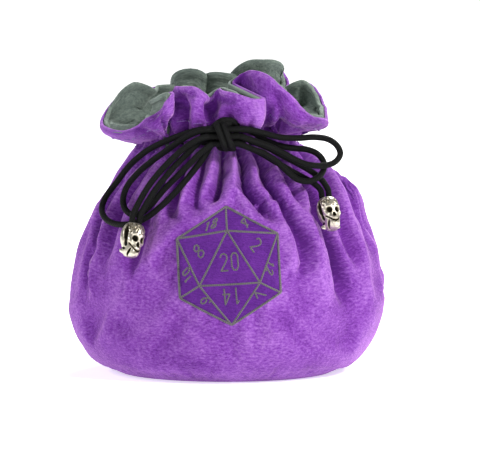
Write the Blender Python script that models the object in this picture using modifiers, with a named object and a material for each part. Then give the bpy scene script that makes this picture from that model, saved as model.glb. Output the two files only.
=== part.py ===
"""Drawstring dice bag: a plush bag with a lining, an embroidered twenty-sided die on its front,
and a doubled drawcord tied in a bow whose two tails end in skull beads.

Metres, +Z up, front towards -Y. The origin is the middle of the base, on the surface that the
bag stands on. Sizes below are in millimetres and are scaled by MM where they are used.
"""

import math

import bmesh
import bpy
from mathutils import Matrix, Vector

MM = 0.001

# The bag's outside, from the base seam up to the top edge: height, half-width, half-depth
BAG_OUTLINE = (
    (0.0, 55.0, 48.0),
    (4.0, 63.0, 55.0),
    (11.0, 69.2, 60.5),
    (23.0, 74.8, 65.2),
    (40.0, 77.0, 67.0),
    (57.0, 74.5, 64.8),
    (72.0, 69.0, 60.0),
    (86.0, 61.2, 53.2),
    (97.0, 52.7, 46.5),
    (105.0, 44.5, 40.0),
    (111.0, 38.8, 35.2),
    (117.0, 37.3, 34.0),
    (122.0, 40.5, 35.2),
    (127.0, 47.5, 38.5),
    (134.0, 53.0, 43.0),
    (142.0, 54.8, 45.5),
    (148.0, 54.5, 46.0),
)
NECK_HEIGHT = 117.0
TOP_HEIGHT = BAG_OUTLINE[-1][0]
LEAN_HEIGHTS = (90.0, 112.0)  # the neck is drawn to one side between these heights
NECK_SHIFT = -5.0
RUFFLE_COUNT = 9
RUFFLE_DEPTH = 3.0
RUFFLE_RISE = 2.0

# Cloth
PLUSH_THICKNESS = 1.8
LINING_THICKNESS = 1.4
CLOTH_GAP = 0.4
SEAM_GAP = 2.2  # between the front and the back panel
STEPS_ROUND = 22  # faces round half of the bag
SHOULDER_STEP = 8  # from this step of the outline up, each has two rows of faces
BASE_GAP = 1.4  # between the base panel's edge and the wall's outside
LINING_BASE_GAP = 2.8

# Cord
CORD_DIAMETER = 3.0
CORD_SIDES = 2  # bevel resolution
CORD_STEP = 6.0  # distance between a cord's points
LOOP_STEP = 4.6
CHANNEL_PITCH = 3.6  # between the two cords in the channel
CHANNEL_DEPTH = PLUSH_THICKNESS + 1.5 * CLOTH_GAP + CORD_DIAMETER / 2
CHANNEL_HALF_HEIGHT = 6.0
KNOT_CENTRE = Vector((0.0, -41.6, 119.0))
KNOT_RADIUS = 6.3

# Buttonholes, either side of the knot, and the thread rows that close the channel
BUTTONHOLE_X = 10.0
BUTTONHOLE_HALF_SIZE = (5.8, 4.0)
BUTTONHOLE_ROUNDING = 1.5
BUTTONHOLE_CUT = 14.0  # how deep the cutter for each buttonhole is
BUTTONHOLE_MARGIN = 1.1  # from the slot to the middle of its stitched ring
STITCH_RADIUS = 0.4
STITCH_OUTSET = 0.75  # from the plush to the middle of the stitched ring
CHANNEL_STITCH_RADIUS = 0.3
CHANNEL_STITCH_OUTSET = 0.45
CORD_ENTRY = 7.0  # how far beyond its buttonhole each cord joins the channel
FRONT_LEAD = Vector((4.9, 5.1, 0.4))  # where a cord leaves the knot for its buttonhole
CHANNEL_STITCH_STEPS = (10, 12.5)  # the steps of the outline where they run

# Embroidered die: a regular icosahedron seen face on
DIE_CENTRE = (1.7, 58.0)
DIE_RADIUS = 28.0
DIE_INNER_SHARE = 0.6
DIE_TURN = math.radians(3.0)
DIE_LINE_WIDTH = 1.3
DIE_GROUND = (0.3, 0.4)  # distance off the plush, thickness
DIE_LINES = (1.3, 0.5)

# Skull beads, turned about the tail's end: places and sizes along the bead's axis
BEAD_CENTRES = {"left": Vector((-45.0, -56.0, 69.9)), "right": Vector((50.2, -45.9, 81.4))}
BEAD_TOPS = {"left": Vector((-43.35, -53.6, 77.9)), "right": Vector((48.6, -42.0, 88.8))}
BEAD_HALF_LENGTH = 8.5
BEAD_BORE_RADIUS = 3.7
BEAD_HOLLOW_RADIUS = 4.5
BEAD_OUTSIDE = ((8.5, 4.4), (7.2, 5.6), (4.5, 6.4), (1.0, 6.6), (-2.5, 6.2), (-5.5, 5.7), (-8.5, 5.3))
BEAD_SHOULDER = (0.5, -0.5)
STOPPER_OUTSIDE = ((-1.1, 2.0), (-1.6, 3.3), (-3.0, 4.0), (-5.0, 4.0), (-6.4, 3.3), (-6.9, 2.0))
TAIL_END = -0.7
TAIL_STRAIGHT = (13.5, 9.5, 4.5)
TAIL_OFFSET = 1.7
ROUND_STEPS = 20

# The free cords' routes. The loops go from the knot back to the knot; the tails go from the
# knot to where they turn in line with their bead.
LOOP_ROUTES = {
    "left_outer_loop": (
        (-6.3, -39.8, 122.5), (-13.5, -38.0, 121.5), (-21.0, -35.0, 119.0), (-29.0, -30.5, 115.5),
        (-38.0, -26.0, 110.5), (-46.0, -22.5, 103.5), (-53.0, -21.0, 94.5), (-58.5, -22.5, 87.0),
        (-60.0, -26.5, 81.5), (-57.5, -33.0, 77.5), (-52.0, -40.2, 76.0), (-45.0, -46.0, 77.0),
        (-37.5, -49.0, 80.5), (-29.5, -49.0, 87.0), (-22.5, -47.0, 94.0), (-16.0, -44.0, 101.5),
        (-10.5, -40.8, 108.5), (-6.3, -39.8, 115.5),
    ),
    "left_inner_loop": (
        (-6.3, -43.4, 122.5), (-12.5, -42.0, 121.5), (-19.5, -39.0, 118.0), (-27.0, -35.5, 112.5),
        (-35.0, -33.0, 106.5), (-42.5, -31.5, 100.0), (-48.0, -32.5, 93.0), (-49.5, -36.5, 86.0),
        (-46.5, -41.5, 81.5), (-41.0, -45.3, 81.8), (-35.5, -46.0, 86.5), (-29.5, -45.5, 93.5),
        (-23.5, -45.0, 99.5), (-17.5, -45.0, 105.5), (-12.0, -44.6, 111.0), (-6.3, -43.4, 115.5),
    ),
    "right_upper_loop": (
        (6.3, -43.4, 122.5), (11.5, -43.2, 122.3), (18.5, -42.0, 120.5), (26.5, -40.5, 118.3),
        (35.0, -39.3, 117.8), (43.0, -38.8, 118.2), (49.5, -39.2, 117.3), (54.0, -40.2, 114.2),
        (55.5, -41.2, 110.0), (52.5, -42.6, 106.2), (46.5, -43.4, 104.8), (39.5, -44.0, 105.5),
        (33.5, -44.3, 108.0), (27.0, -44.3, 111.5), (20.0, -44.2, 114.8), (12.0, -43.8, 117.5),
        (7.2, -43.4, 119.0),
    ),
    "right_lower_loop": (
        (6.3, -39.8, 122.5), (12.4, -38.6, 121.0), (19.0, -37.6, 116.9), (26.0, -36.6, 114.0),
        (33.0, -36.0, 112.6), (39.5, -36.0, 112.0), (45.0, -37.0, 109.6), (47.8, -38.8, 105.0),
        (46.0, -41.2, 100.0), (40.5, -43.0, 97.2), (34.8, -43.8, 98.3), (30.0, -44.0, 102.0),
        (25.0, -44.0, 106.8), (19.0, -43.8, 110.8), (12.0, -43.6, 113.3), (6.3, -43.4, 115.5),
    ),
}
TAIL_ROUTES = {
    "left_tail_cord_a": (
        (-7.2, -43.4, 119.0), (-12.5, -43.5, 117.8), (-19.5, -43.5, 113.5), (-26.0, -44.0, 107.8),
        (-32.5, -45.5, 101.0), (-38.5, -48.0, 93.0),
    ),
    "left_tail_cord_b": (
        (-7.2, -39.8, 119.0), (-11.7, -40.0, 116.8), (-17.2, -41.5, 111.6), (-23.4, -44.0, 105.6),
        (-29.4, -46.2, 98.9), (-35.0, -48.8, 91.8),
    ),
    "right_tail_cord_a": (
        (7.2, -39.8, 119.0), (12.5, -37.7, 116.2), (19.5, -35.5, 113.2), (26.5, -34.3, 109.5),
        (33.5, -34.2, 105.8), (40.0, -35.0, 102.2), (45.8, -37.0, 98.2),
    ),
    "right_tail_cord_b": (
        (6.3, -39.8, 115.5), (11.5, -38.0, 113.0), (18.0, -36.5, 109.8), (24.5, -35.7, 105.8),
        (31.0, -35.5, 102.0), (37.0, -36.2, 98.8), (42.2, -37.7, 96.1),
    ),
}
TAIL_SIDES = {"a": {"left": -1.0, "right": 1.0}, "b": {"left": 1.0, "right": -1.0}}

# Colour, roughness and metallic value of each material
MATERIALS = {
    "plush": ((0.33, 0.08, 0.60, 1.0), 0.85, 0.0),
    "lining": ((0.13, 0.17, 0.16, 1.0), 0.85, 0.0),
    "cord": ((0.012, 0.013, 0.014, 1.0), 0.55, 0.0),
    "thread": ((0.22, 0.19, 0.23, 1.0), 0.5, 0.0),
    "purple_thread": ((0.17, 0.03, 0.33, 1.0), 0.6, 0.0),
    "antique_silver": ((0.55, 0.52, 0.44, 1.0), 0.3, 1.0),
}


# ---------------------------------------------------------------- scene and small helpers


def clear_scene():
    for obj in list(bpy.data.objects):
        bpy.data.objects.remove(obj, do_unlink=True)


def new_collection(name):
    collection = bpy.data.collections.new(name)
    bpy.context.scene.collection.children.link(collection)
    return collection


def new_material(name):
    colour, roughness, metallic = MATERIALS[name]
    material = bpy.data.materials.new(name)
    material.use_nodes = True
    shader = material.node_tree.nodes["Principled BSDF"]
    shader.inputs["Base Color"].default_value = colour
    shader.inputs["Roughness"].default_value = roughness
    shader.inputs["Metallic"].default_value = metallic
    return material


def add_part(name, data, material, collection):
    """A named object for one sub-part, in the collection, with its own copy of a material."""
    obj = bpy.data.objects.new(name, data)
    collection.objects.link(obj)
    own = material.copy()
    own.name = name + "_" + material.name
    data.materials.append(own)
    return obj


def mesh_from(name, bm):
    mesh = bpy.data.meshes.new(name)
    bmesh.ops.recalc_face_normals(bm, faces=bm.faces)
    bm.to_mesh(mesh)
    bm.free()
    mesh.shade_smooth()
    return mesh


def smooth_step(x):
    x = max(0.0, min(1.0, x))
    return x * x * (3 - 2 * x)


def curve_through(points, step, closed=False):
    """Evenly spaced points on a smooth curve through the given points."""
    points = [Vector(point) for point in points]
    if closed:
        ends = [points[-1]] + points + [points[0], points[1]]
    else:
        ends = [2 * points[0] - points[1]] + points + [2 * points[-1] - points[-2]]
    fine = []
    for before, start, end, after in zip(ends, ends[1:], ends[2:], ends[3:]):
        for k in range(20):
            u = k / 20
            linear = (end - before) * u
            square = (2 * before - 5 * start + 4 * end - after) * u**2
            cube = (3 * start - before - 3 * end + after) * u**3
            fine.append(start + 0.5 * (linear + square + cube))
    fine.append(points[0] if closed else points[-1])
    return spaced_along(fine, step, closed)


def spaced_along(fine, step, closed):
    """Points of a fine polyline about one step apart, with both of its ends kept."""
    lengths = [0.0]
    for start, end in zip(fine, fine[1:]):
        lengths.append(lengths[-1] + (end - start).length)
    count = max(2, round(lengths[-1] / step))
    spaced = []
    index = 0
    for k in range(count + 1):
        target = lengths[-1] * k / count
        while index < len(fine) - 2 and lengths[index + 1] < target:
            index += 1
        share = (target - lengths[index]) / max(1e-9, lengths[index + 1] - lengths[index])
        spaced.append(fine[index].lerp(fine[index + 1], min(1.0, share)))
    return spaced[:-1] if closed else spaced


def add_tube(name, points, radius, material, collection, closed=False, sides=CORD_SIDES):
    """A round tube along points, as a bevelled curve with filled ends."""
    curve = bpy.data.curves.new(name, "CURVE")
    curve.dimensions = "3D"
    curve.bevel_depth = radius * MM
    curve.bevel_resolution = sides
    curve.use_fill_caps = not closed
    spline = curve.splines.new("POLY")
    spline.points.add(len(points) - 1)
    for spline_point, point in zip(spline.points, points):
        spline_point.co = (*(point * MM), 1.0)
    spline.use_cyclic_u = closed
    return add_part(name, curve, material, collection)


# ---------------------------------------------------------------- the bag's surface


def outline_at(t):
    """Height, half-width and half-depth at t, from 0 at the base seam to 1 at the top edge."""
    last = len(BAG_OUTLINE) - 1
    place = t * last
    index = int(max(0.0, min(last - 1.0, place)))
    corners = [max(0, min(last, index + k)) for k in (-1, 0, 1, 2)]
    before, start, end, after = (Vector(BAG_OUTLINE[k]) for k in corners)
    u = place - index
    linear = (end - before) * u
    square = (2 * before - 5 * start + 4 * end - after) * u**2
    cube = (3 * start - before - 3 * end + after) * u**3
    return start + 0.5 * (linear + square + cube)


def lean_at(height):
    low, high = LEAN_HEIGHTS
    return NECK_SHIFT * smooth_step((height - low) / (high - low))


def surface_point(angle, t):
    """A point of the bag's outside. The angle turns from +X through the back, at +Y."""
    height, half_width, half_depth = outline_at(t)
    ruffle = smooth_step((height - NECK_HEIGHT) / (TOP_HEIGHT - NECK_HEIGHT))
    swell = RUFFLE_DEPTH * ruffle * math.cos(RUFFLE_COUNT * angle)
    rise = RUFFLE_RISE * ruffle * math.cos(RUFFLE_COUNT * angle + 1.0)
    x = lean_at(height) + (half_width + swell) * math.cos(angle)
    y = (half_depth + swell) * math.sin(angle)
    return Vector((x, y, height + rise))


def surface_normal(angle, t):
    small = 0.001
    along = surface_point(angle + small, t) - surface_point(angle - small, t)
    upward = surface_point(angle, t + small) - surface_point(angle, t - small)
    return along.cross(upward).normalized()


def inset_point(angle, t, inset):
    return surface_point(angle, t) - surface_normal(angle, t) * inset


def t_at(height):
    low, high = 0.0, 1.0
    for _ in range(40):
        middle = (low + high) / 2
        if outline_at(middle)[0] < height:
            low = middle
        else:
            high = middle
    return (low + high) / 2


def front_place(x, height):
    """The angle and t of the front point at this x and height, on or below the neck."""
    t = t_at(height)
    _, half_width, _ = outline_at(t)
    return -math.acos((x - lean_at(height)) / half_width), t


def front_point(x, height, outset):
    angle, t = front_place(x, height)
    return inset_point(angle, t, -outset)


def lining_inset(height):
    """How far the lining's outer face lies inside the bag's outside: more at the channel."""
    off_neck = abs(height - NECK_HEIGHT) / CHANNEL_HALF_HEIGHT
    channel = smooth_step(2.0 - off_neck)
    return PLUSH_THICKNESS + CLOTH_GAP + channel * (CORD_DIAMETER + 2 * CLOTH_GAP)


# ---------------------------------------------------------------- cloth


def wall_rows():
    """The places up the outline of the wall's rows of points, closer together at the neck."""
    last = len(BAG_OUTLINE) - 1
    lower = list(range(SHOULDER_STEP))
    upper = [SHOULDER_STEP + k / 2 for k in range(2 * (last - SHOULDER_STEP) + 1)]
    return [step / last for step in lower + upper]


def add_wall_panel(name, first_angle, inset_at, thickness, material, collection):
    """Half of the bag's wall, from side seam to side seam, as a solidified open surface."""
    bm = bmesh.new()
    rows = []
    for t in wall_rows():
        height, _, half_depth = outline_at(t)
        inset = inset_at(height)
        at_seam = math.asin(SEAM_GAP / 2 / half_depth)
        row = []
        for around in range(STEPS_ROUND + 1):
            share = around / STEPS_ROUND
            angle = first_angle + at_seam + share * (math.pi - 2 * at_seam)
            row.append(bm.verts.new(inset_point(angle, t, inset) * MM))
        rows.append(row)
    for low, high in zip(rows, rows[1:]):
        for k in range(STEPS_ROUND):
            bm.faces.new((low[k], low[k + 1], high[k + 1], high[k]))
    panel = add_part(name, mesh_from(name, bm), material, collection)
    solidify = panel.modifiers.new("cloth", "SOLIDIFY")
    solidify.thickness = thickness * MM
    solidify.offset = -1.0
    return panel


def add_base_panel(name, gap, bottom, thickness, material, collection):
    """The flat oval floor, inside the wall's lower edge."""
    _, half_width, half_depth = BAG_OUTLINE[0]
    bm = bmesh.new()
    bmesh.ops.create_cone(
        bm,
        segments=2 * STEPS_ROUND,
        radius1=1.0,
        radius2=1.0,
        depth=thickness * MM,
        cap_ends=True,
    )
    stretch = Vector(((half_width - gap) * MM, (half_depth - gap) * MM, 1.0))
    bmesh.ops.scale(bm, verts=bm.verts, vec=stretch)
    panel = add_part(name, mesh_from(name, bm), material, collection)
    panel.data.set_sharp_from_angle(angle=math.radians(40))
    panel.location.z = (bottom + thickness / 2) * MM
    return panel


def add_buttonhole_cutter(side, sign, cutters):
    """A rounded block through the outer front panel, where two cords leave the channel."""
    half_width, half_height = BUTTONHOLE_HALF_SIZE
    bm = bmesh.new()
    bmesh.ops.create_cube(bm, size=1.0)
    bmesh.ops.scale(bm, verts=bm.verts, vec=Vector((2 * half_width, BUTTONHOLE_CUT, 2 * half_height)) * MM)
    mesh = bpy.data.meshes.new("buttonhole_cutter_" + side)
    bm.to_mesh(mesh)
    bm.free()
    cutter = bpy.data.objects.new(mesh.name, mesh)
    cutters.objects.link(cutter)
    rounding = cutter.modifiers.new("rounded", "BEVEL")
    rounding.width = BUTTONHOLE_ROUNDING * MM
    rounding.segments = 2
    cutter.location = front_point(sign * BUTTONHOLE_X, NECK_HEIGHT, -PLUSH_THICKNESS / 2) * MM
    cutter.hide_render = True
    cutter.display_type = "WIRE"
    return cutter


def cut(part, cutter):
    boolean = part.modifiers.new("cut", "BOOLEAN")
    boolean.operation = "DIFFERENCE"
    boolean.object = cutter


def add_buttonhole_stitching(side, sign, material, collection):
    """The worked thread edge round one buttonhole."""
    half_width, half_height = (half + BUTTONHOLE_MARGIN for half in BUTTONHOLE_HALF_SIZE)
    points = []
    for k in range(ROUND_STEPS):
        turn = 2 * math.pi * k / ROUND_STEPS
        across = half_width * abs(math.cos(turn)) ** 0.6 * math.copysign(1, math.cos(turn))
        up = half_height * abs(math.sin(turn)) ** 0.6 * math.copysign(1, math.sin(turn))
        points.append(front_point(sign * BUTTONHOLE_X + across, NECK_HEIGHT + up, STITCH_OUTSET))
    name = "buttonhole_" + side
    add_tube(name, points, STITCH_RADIUS, material, collection, closed=True, sides=0)


def add_channel_stitching(name, step, material, collection):
    """One row of thread round the neck, just proud of the plush."""
    t = step / (len(BAG_OUTLINE) - 1)
    count = 2 * STEPS_ROUND
    points = [inset_point(2 * math.pi * k / count, t, -CHANNEL_STITCH_OUTSET) for k in range(count)]
    add_tube(name, points, CHANNEL_STITCH_RADIUS, material, collection, closed=True, sides=0)


# ---------------------------------------------------------------- embroidered die


def hexagon(radius):
    return [
        Vector((radius * math.sin(math.radians(60 * k)), radius * math.cos(math.radians(60 * k))))
        for k in range(6)
    ]


def drape_on_front(mesh, base_outset):
    """Lays a flat mesh, drawn in XY about the die's centre, on the bag's front."""
    turn = Matrix.Rotation(DIE_TURN, 2)
    for vertex in mesh.vertices:
        flat = turn @ Vector(vertex.co[:2])
        x = DIE_CENTRE[0] + flat.x
        height = DIE_CENTRE[1] + flat.y
        vertex.co = front_point(x, height, base_outset + vertex.co.z) * MM
    mesh.update()


def add_die_ground(material, collection):
    """The flattened, stitched-down field under the die's lines."""
    outset, thickness = DIE_GROUND
    bm = bmesh.new()
    bmesh.ops.create_circle(bm, segments=6, radius=DIE_RADIUS + DIE_LINE_WIDTH / 2, cap_ends=True)
    bmesh.ops.poke(bm, faces=bm.faces)
    bmesh.ops.subdivide_edges(bm, edges=bm.edges, cuts=4, use_grid_fill=True)
    mesh = mesh_from("emblem_ground", bm)
    drape_on_front(mesh, outset)
    ground = add_part("emblem_ground", mesh, material, collection)
    solidify = ground.modifiers.new("stitching", "SOLIDIFY")
    solidify.thickness = thickness * MM
    solidify.offset = 1.0
    return ground


def die_faces():
    """The outlines of the ten faces that show: corners of the outer hexagon and inner triangle."""
    outer = hexagon(DIE_RADIUS)
    inner = hexagon(DIE_RADIUS * DIE_INNER_SHARE)[::2]
    faces = [inner]
    for k in range(3):
        near = 2 * k
        faces.append([inner[k], outer[near], outer[(near + 1) % 6]])
        faces.append([inner[k], outer[(near - 1) % 6], outer[near]])
        faces.append([inner[k], outer[(near + 1) % 6], inner[(k + 1) % 3]])
    return outer, faces


def shrunk(corners, distance):
    """A convex outline moved inwards by a distance."""
    centre = sum(corners, Vector((0.0, 0.0))) / len(corners)
    moved = []
    count = len(corners)
    for k in range(count):
        before, corner, after = corners[k - 1], corners[k], corners[(k + 1) % count]
        along_in = (corner - before).normalized()
        along_out = (after - corner).normalized()
        half_turn = along_in.angle(-along_out) / 2
        towards = (along_out - along_in).normalized()
        if towards.dot(centre - corner) < 0:
            towards = -towards
        moved.append(corner + towards * distance / math.sin(half_turn))
    return moved


def add_outline(curve, corners, steps):
    """A closed straight-sided outline, with extra points along each side."""
    spline = curve.splines.new("POLY")
    points = []
    for start, end in zip(corners, corners[1:] + corners[:1]):
        points += [start.lerp(end, k / steps) for k in range(steps)]
    spline.points.add(len(points) - 1)
    for spline_point, point in zip(spline.points, points):
        spline_point.co = (point.x, point.y, 0.0, 1.0)
    spline.use_cyclic_u = True


def add_die_lines(material, collection):
    """The die's embroidered lines: a flat outline with ten three-sided openings."""
    outset, thickness = DIE_LINES
    curve = bpy.data.curves.new("die_lines_flat", "CURVE")
    curve.dimensions = "2D"
    curve.fill_mode = "BOTH"
    curve.extrude = thickness / 2
    outer, faces = die_faces()
    add_outline(curve, hexagon(DIE_RADIUS + DIE_LINE_WIDTH / 2), 6)
    for face in faces:
        add_outline(curve, shrunk(face, DIE_LINE_WIDTH / 2), 5)
    flat = bpy.data.objects.new("die_lines_flat", curve)
    collection.objects.link(flat)
    graph = bpy.context.evaluated_depsgraph_get()
    mesh = bpy.data.meshes.new_from_object(flat.evaluated_get(graph))
    bpy.data.objects.remove(flat)
    bm = bmesh.new()
    bm.from_mesh(mesh)
    bmesh.ops.remove_doubles(bm, verts=bm.verts, dist=0.001)
    bmesh.ops.beautify_fill(bm, faces=bm.faces, edges=bm.edges)
    bm.to_mesh(mesh)
    bm.free()
    mesh.name = "emblem_lines"
    drape_on_front(mesh, outset)
    mesh.materials.clear()
    return add_part("emblem_lines", mesh, material, collection)


# ---------------------------------------------------------------- drawcord and bow


def add_drawcord(name, height_offset, material, collection):
    """One cord's run round the neck, from the knot in by one buttonhole and out by the other."""
    height = NECK_HEIGHT + height_offset
    t = t_at(height)
    lead_in = front_lead(-1, height)
    lead_out = front_lead(1, height)
    start, _ = front_place(-BUTTONHOLE_X - CORD_ENTRY, height)
    end, _ = front_place(BUTTONHOLE_X + CORD_ENTRY, height)
    count = 24
    sweep = end - start - 2 * math.pi
    round_neck = [
        inset_point(start + sweep * k / count, t, CHANNEL_DEPTH) for k in range(count + 1)
    ]
    points = curve_through(lead_in + round_neck + lead_out[::-1], CORD_STEP)
    add_tube(name, points, CORD_DIAMETER / 2, material, collection)


def front_lead(sign, height):
    """From behind the knot to the middle of a buttonhole, on one side."""
    hole = front_point(sign * (BUTTONHOLE_X + 0.3), height, -PLUSH_THICKNESS / 2)
    lead = Vector((sign * FRONT_LEAD.x, KNOT_CENTRE.y + FRONT_LEAD.y, height + FRONT_LEAD.z))
    return [lead, hole]


def add_bow_knot(material, collection):
    """The bow's crossing, as the round lump that its wraps make."""
    bm = bmesh.new()
    bmesh.ops.create_uvsphere(bm, u_segments=16, v_segments=10, radius=KNOT_RADIUS * MM)
    knot = add_part("bow_knot", mesh_from("bow_knot", bm), material, collection)
    knot.location = KNOT_CENTRE * MM


def bead_axis(side):
    """Unit vector up the bead's bore, and the sideways one that parts the two tail strands."""
    axis = (BEAD_TOPS[side] - BEAD_CENTRES[side]).normalized()
    sideways = axis.cross(Vector((0.0, 1.0, 0.0))).normalized()
    if sideways.x < 0:
        sideways = -sideways
    return axis, sideways


def tail_points(name):
    """A tail strand's route: its own points, then straight down its bead's bore."""
    side = name.split("_")[0]
    strand = name[-1]
    axis, sideways = bead_axis(side)
    start = BEAD_CENTRES[side] + sideways * TAIL_OFFSET * TAIL_SIDES[strand][side]
    straight = [start + axis * along for along in (*TAIL_STRAIGHT, TAIL_END)]
    return [Vector(point) for point in TAIL_ROUTES[name]] + straight


def add_bow_cords(material, collection):
    for name, route in LOOP_ROUTES.items():
        points = curve_through(route, LOOP_STEP)
        add_tube(name, points, CORD_DIAMETER / 2, material, collection)
    for name in TAIL_ROUTES:
        points = curve_through(tail_points(name), LOOP_STEP)
        add_tube(name, points, CORD_DIAMETER / 2, material, collection)


# ---------------------------------------------------------------- beads and stoppers


def add_turned(name, side, profile, closed, material, collection):
    """A turned piece about a bead's axis. The profile is (height, radius), outside first,
    from top to bottom."""
    bm = bmesh.new()
    corners = [bm.verts.new((radius * MM, 0.0, height * MM)) for height, radius in profile]
    pairs = list(zip(corners, corners[1:]))
    if closed:
        pairs.append((corners[-1], corners[0]))
    for start, end in pairs:
        bm.edges.new((start, end))
    mesh = bpy.data.meshes.new(name)
    bm.to_mesh(mesh)
    bm.free()
    piece = add_part(name, mesh, material, collection)
    screw = piece.modifiers.new("turned", "SCREW")
    screw.steps = ROUND_STEPS
    screw.render_steps = ROUND_STEPS
    screw.use_merge_vertices = True
    screw.merge_threshold = 0.00001
    screw.use_smooth_shade = True
    axis, _ = bead_axis(side)
    piece.rotation_euler = Vector((0.0, 0.0, 1.0)).rotation_difference(axis).to_euler()
    piece.location = BEAD_CENTRES[side] * MM
    return piece


def add_bead(side, material, collection):
    """The bead: a bore for two strands, opening into a hollow for the stopper knot."""
    shoulder_top, shoulder_bottom = BEAD_SHOULDER
    bore = (
        (-BEAD_HALF_LENGTH, BEAD_HOLLOW_RADIUS),
        (shoulder_bottom, BEAD_HOLLOW_RADIUS),
        (shoulder_top, BEAD_BORE_RADIUS),
        (BEAD_HALF_LENGTH, BEAD_BORE_RADIUS),
    )
    profile = BEAD_OUTSIDE + bore
    return add_turned(side + "_skull_bead", side, profile, True, material, collection)


def add_stopper(side, material, collection):
    """The overhand knot in the two strands, inside the bead's hollow."""
    top = (STOPPER_OUTSIDE[0][0], 0.0)
    bottom = (STOPPER_OUTSIDE[-1][0], 0.0)
    profile = (top, *STOPPER_OUTSIDE, bottom)
    return add_turned(side + "_stopper_knot", side, profile, False, material, collection)


# ---------------------------------------------------------------- the whole bag


def main():
    clear_scene()
    bag = new_collection("drawstring_dice_bag")
    cutters = new_collection("cutters")
    materials = {name: new_material(name) for name in MATERIALS}
    plush, lining = materials["plush"], materials["lining"]
    cord, thread = materials["cord"], materials["thread"]

    def outer_inset(height):
        return 0.0

    front = add_wall_panel("outer_front_panel", math.pi, outer_inset, PLUSH_THICKNESS, plush, bag)
    add_wall_panel("outer_back_panel", 0.0, outer_inset, PLUSH_THICKNESS, plush, bag)
    add_wall_panel("lining_front_panel", math.pi, lining_inset, LINING_THICKNESS, lining, bag)
    add_wall_panel("lining_back_panel", 0.0, lining_inset, LINING_THICKNESS, lining, bag)
    add_base_panel("outer_base_panel", BASE_GAP, 0.0, PLUSH_THICKNESS, plush, bag)
    lining_bottom = PLUSH_THICKNESS + CLOTH_GAP
    add_base_panel(
        "lining_base_panel", LINING_BASE_GAP, lining_bottom, LINING_THICKNESS, lining, bag
    )
    for side, sign in (("left", -1), ("right", 1)):
        cut(front, add_buttonhole_cutter(side, sign, cutters))
        add_buttonhole_stitching(side, sign, thread, bag)
    for level, step in zip(("lower", "upper"), CHANNEL_STITCH_STEPS):
        add_channel_stitching("channel_stitch_" + level, step, materials["purple_thread"], bag)
    add_die_ground(materials["purple_thread"], bag)
    add_die_lines(thread, bag)
    add_drawcord("drawcord_a", -CHANNEL_PITCH / 2, cord, bag)
    add_drawcord("drawcord_b", CHANNEL_PITCH / 2, cord, bag)
    add_bow_knot(cord, bag)
    add_bow_cords(cord, bag)
    for side in ("left", "right"):
        add_bead(side, materials["antique_silver"], bag)
        add_stopper(side, cord, bag)


main()
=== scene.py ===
"""The look of the drawstring dice bag: gathered plush with a ruffled collar and a lining, an
embroidered twenty-sided die, a braided double cord tied in a bow, and two silver skull beads.

Metres, +Z up, front towards -Y, as in the CAD part. Sizes and routes are listed in
millimetres and scaled by MM where they are used.
"""

import functools
import itertools
import math
import random

import bpy
import numpy as np
from mathutils import Matrix, Vector, noise
from mathutils.bvhtree import BVHTree


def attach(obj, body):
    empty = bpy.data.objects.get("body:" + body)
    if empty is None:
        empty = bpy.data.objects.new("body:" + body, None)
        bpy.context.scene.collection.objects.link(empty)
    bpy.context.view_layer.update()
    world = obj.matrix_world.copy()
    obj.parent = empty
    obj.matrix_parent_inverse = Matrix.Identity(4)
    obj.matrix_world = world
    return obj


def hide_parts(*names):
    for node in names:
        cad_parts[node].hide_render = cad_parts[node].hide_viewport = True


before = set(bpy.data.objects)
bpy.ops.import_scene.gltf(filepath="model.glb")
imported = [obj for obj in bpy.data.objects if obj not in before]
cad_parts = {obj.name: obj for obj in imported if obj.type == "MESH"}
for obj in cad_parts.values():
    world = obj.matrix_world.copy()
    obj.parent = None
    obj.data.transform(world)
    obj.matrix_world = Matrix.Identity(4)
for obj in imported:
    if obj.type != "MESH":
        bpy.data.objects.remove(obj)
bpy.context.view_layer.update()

MM = 0.001

# The bag's outside below the collar: height, half-width, half-depth
BODY_OUTLINE = (
    (0, 52, 47),
    (4, 60, 54),
    (11, 67.2, 60),
    (23, 74, 65),
    (40, 77, 67),
    (57, 74.5, 64.8),
    (72, 69, 60),
    (86, 61.2, 53.2),
    (97, 52.7, 46.5),
    (105, 44.5, 40),
    (111, 38.8, 35.2),
    (117, 37.3, 34),
)
# How much fuller the sides hang than that outline: height, left, right
SIDE_FULLNESS = (
    (34, 0, 0), (42, 0.4, 0.8), (50, 1.6, 3.4), (62, 2.2, 4.8), (74, 2, 5),
    (80, 2, 6.2), (86, 1.8, 8.6), (92, 1.4, 11), (98, 1, 12.5), (104, 0.5, 9.5),
    (110, 0, 4), (115, 0, 0),
)
NECK_HEIGHT = 117.0
LEAN_HEIGHTS = (90, 112)
NECK_SHIFT = -5.0

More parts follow.
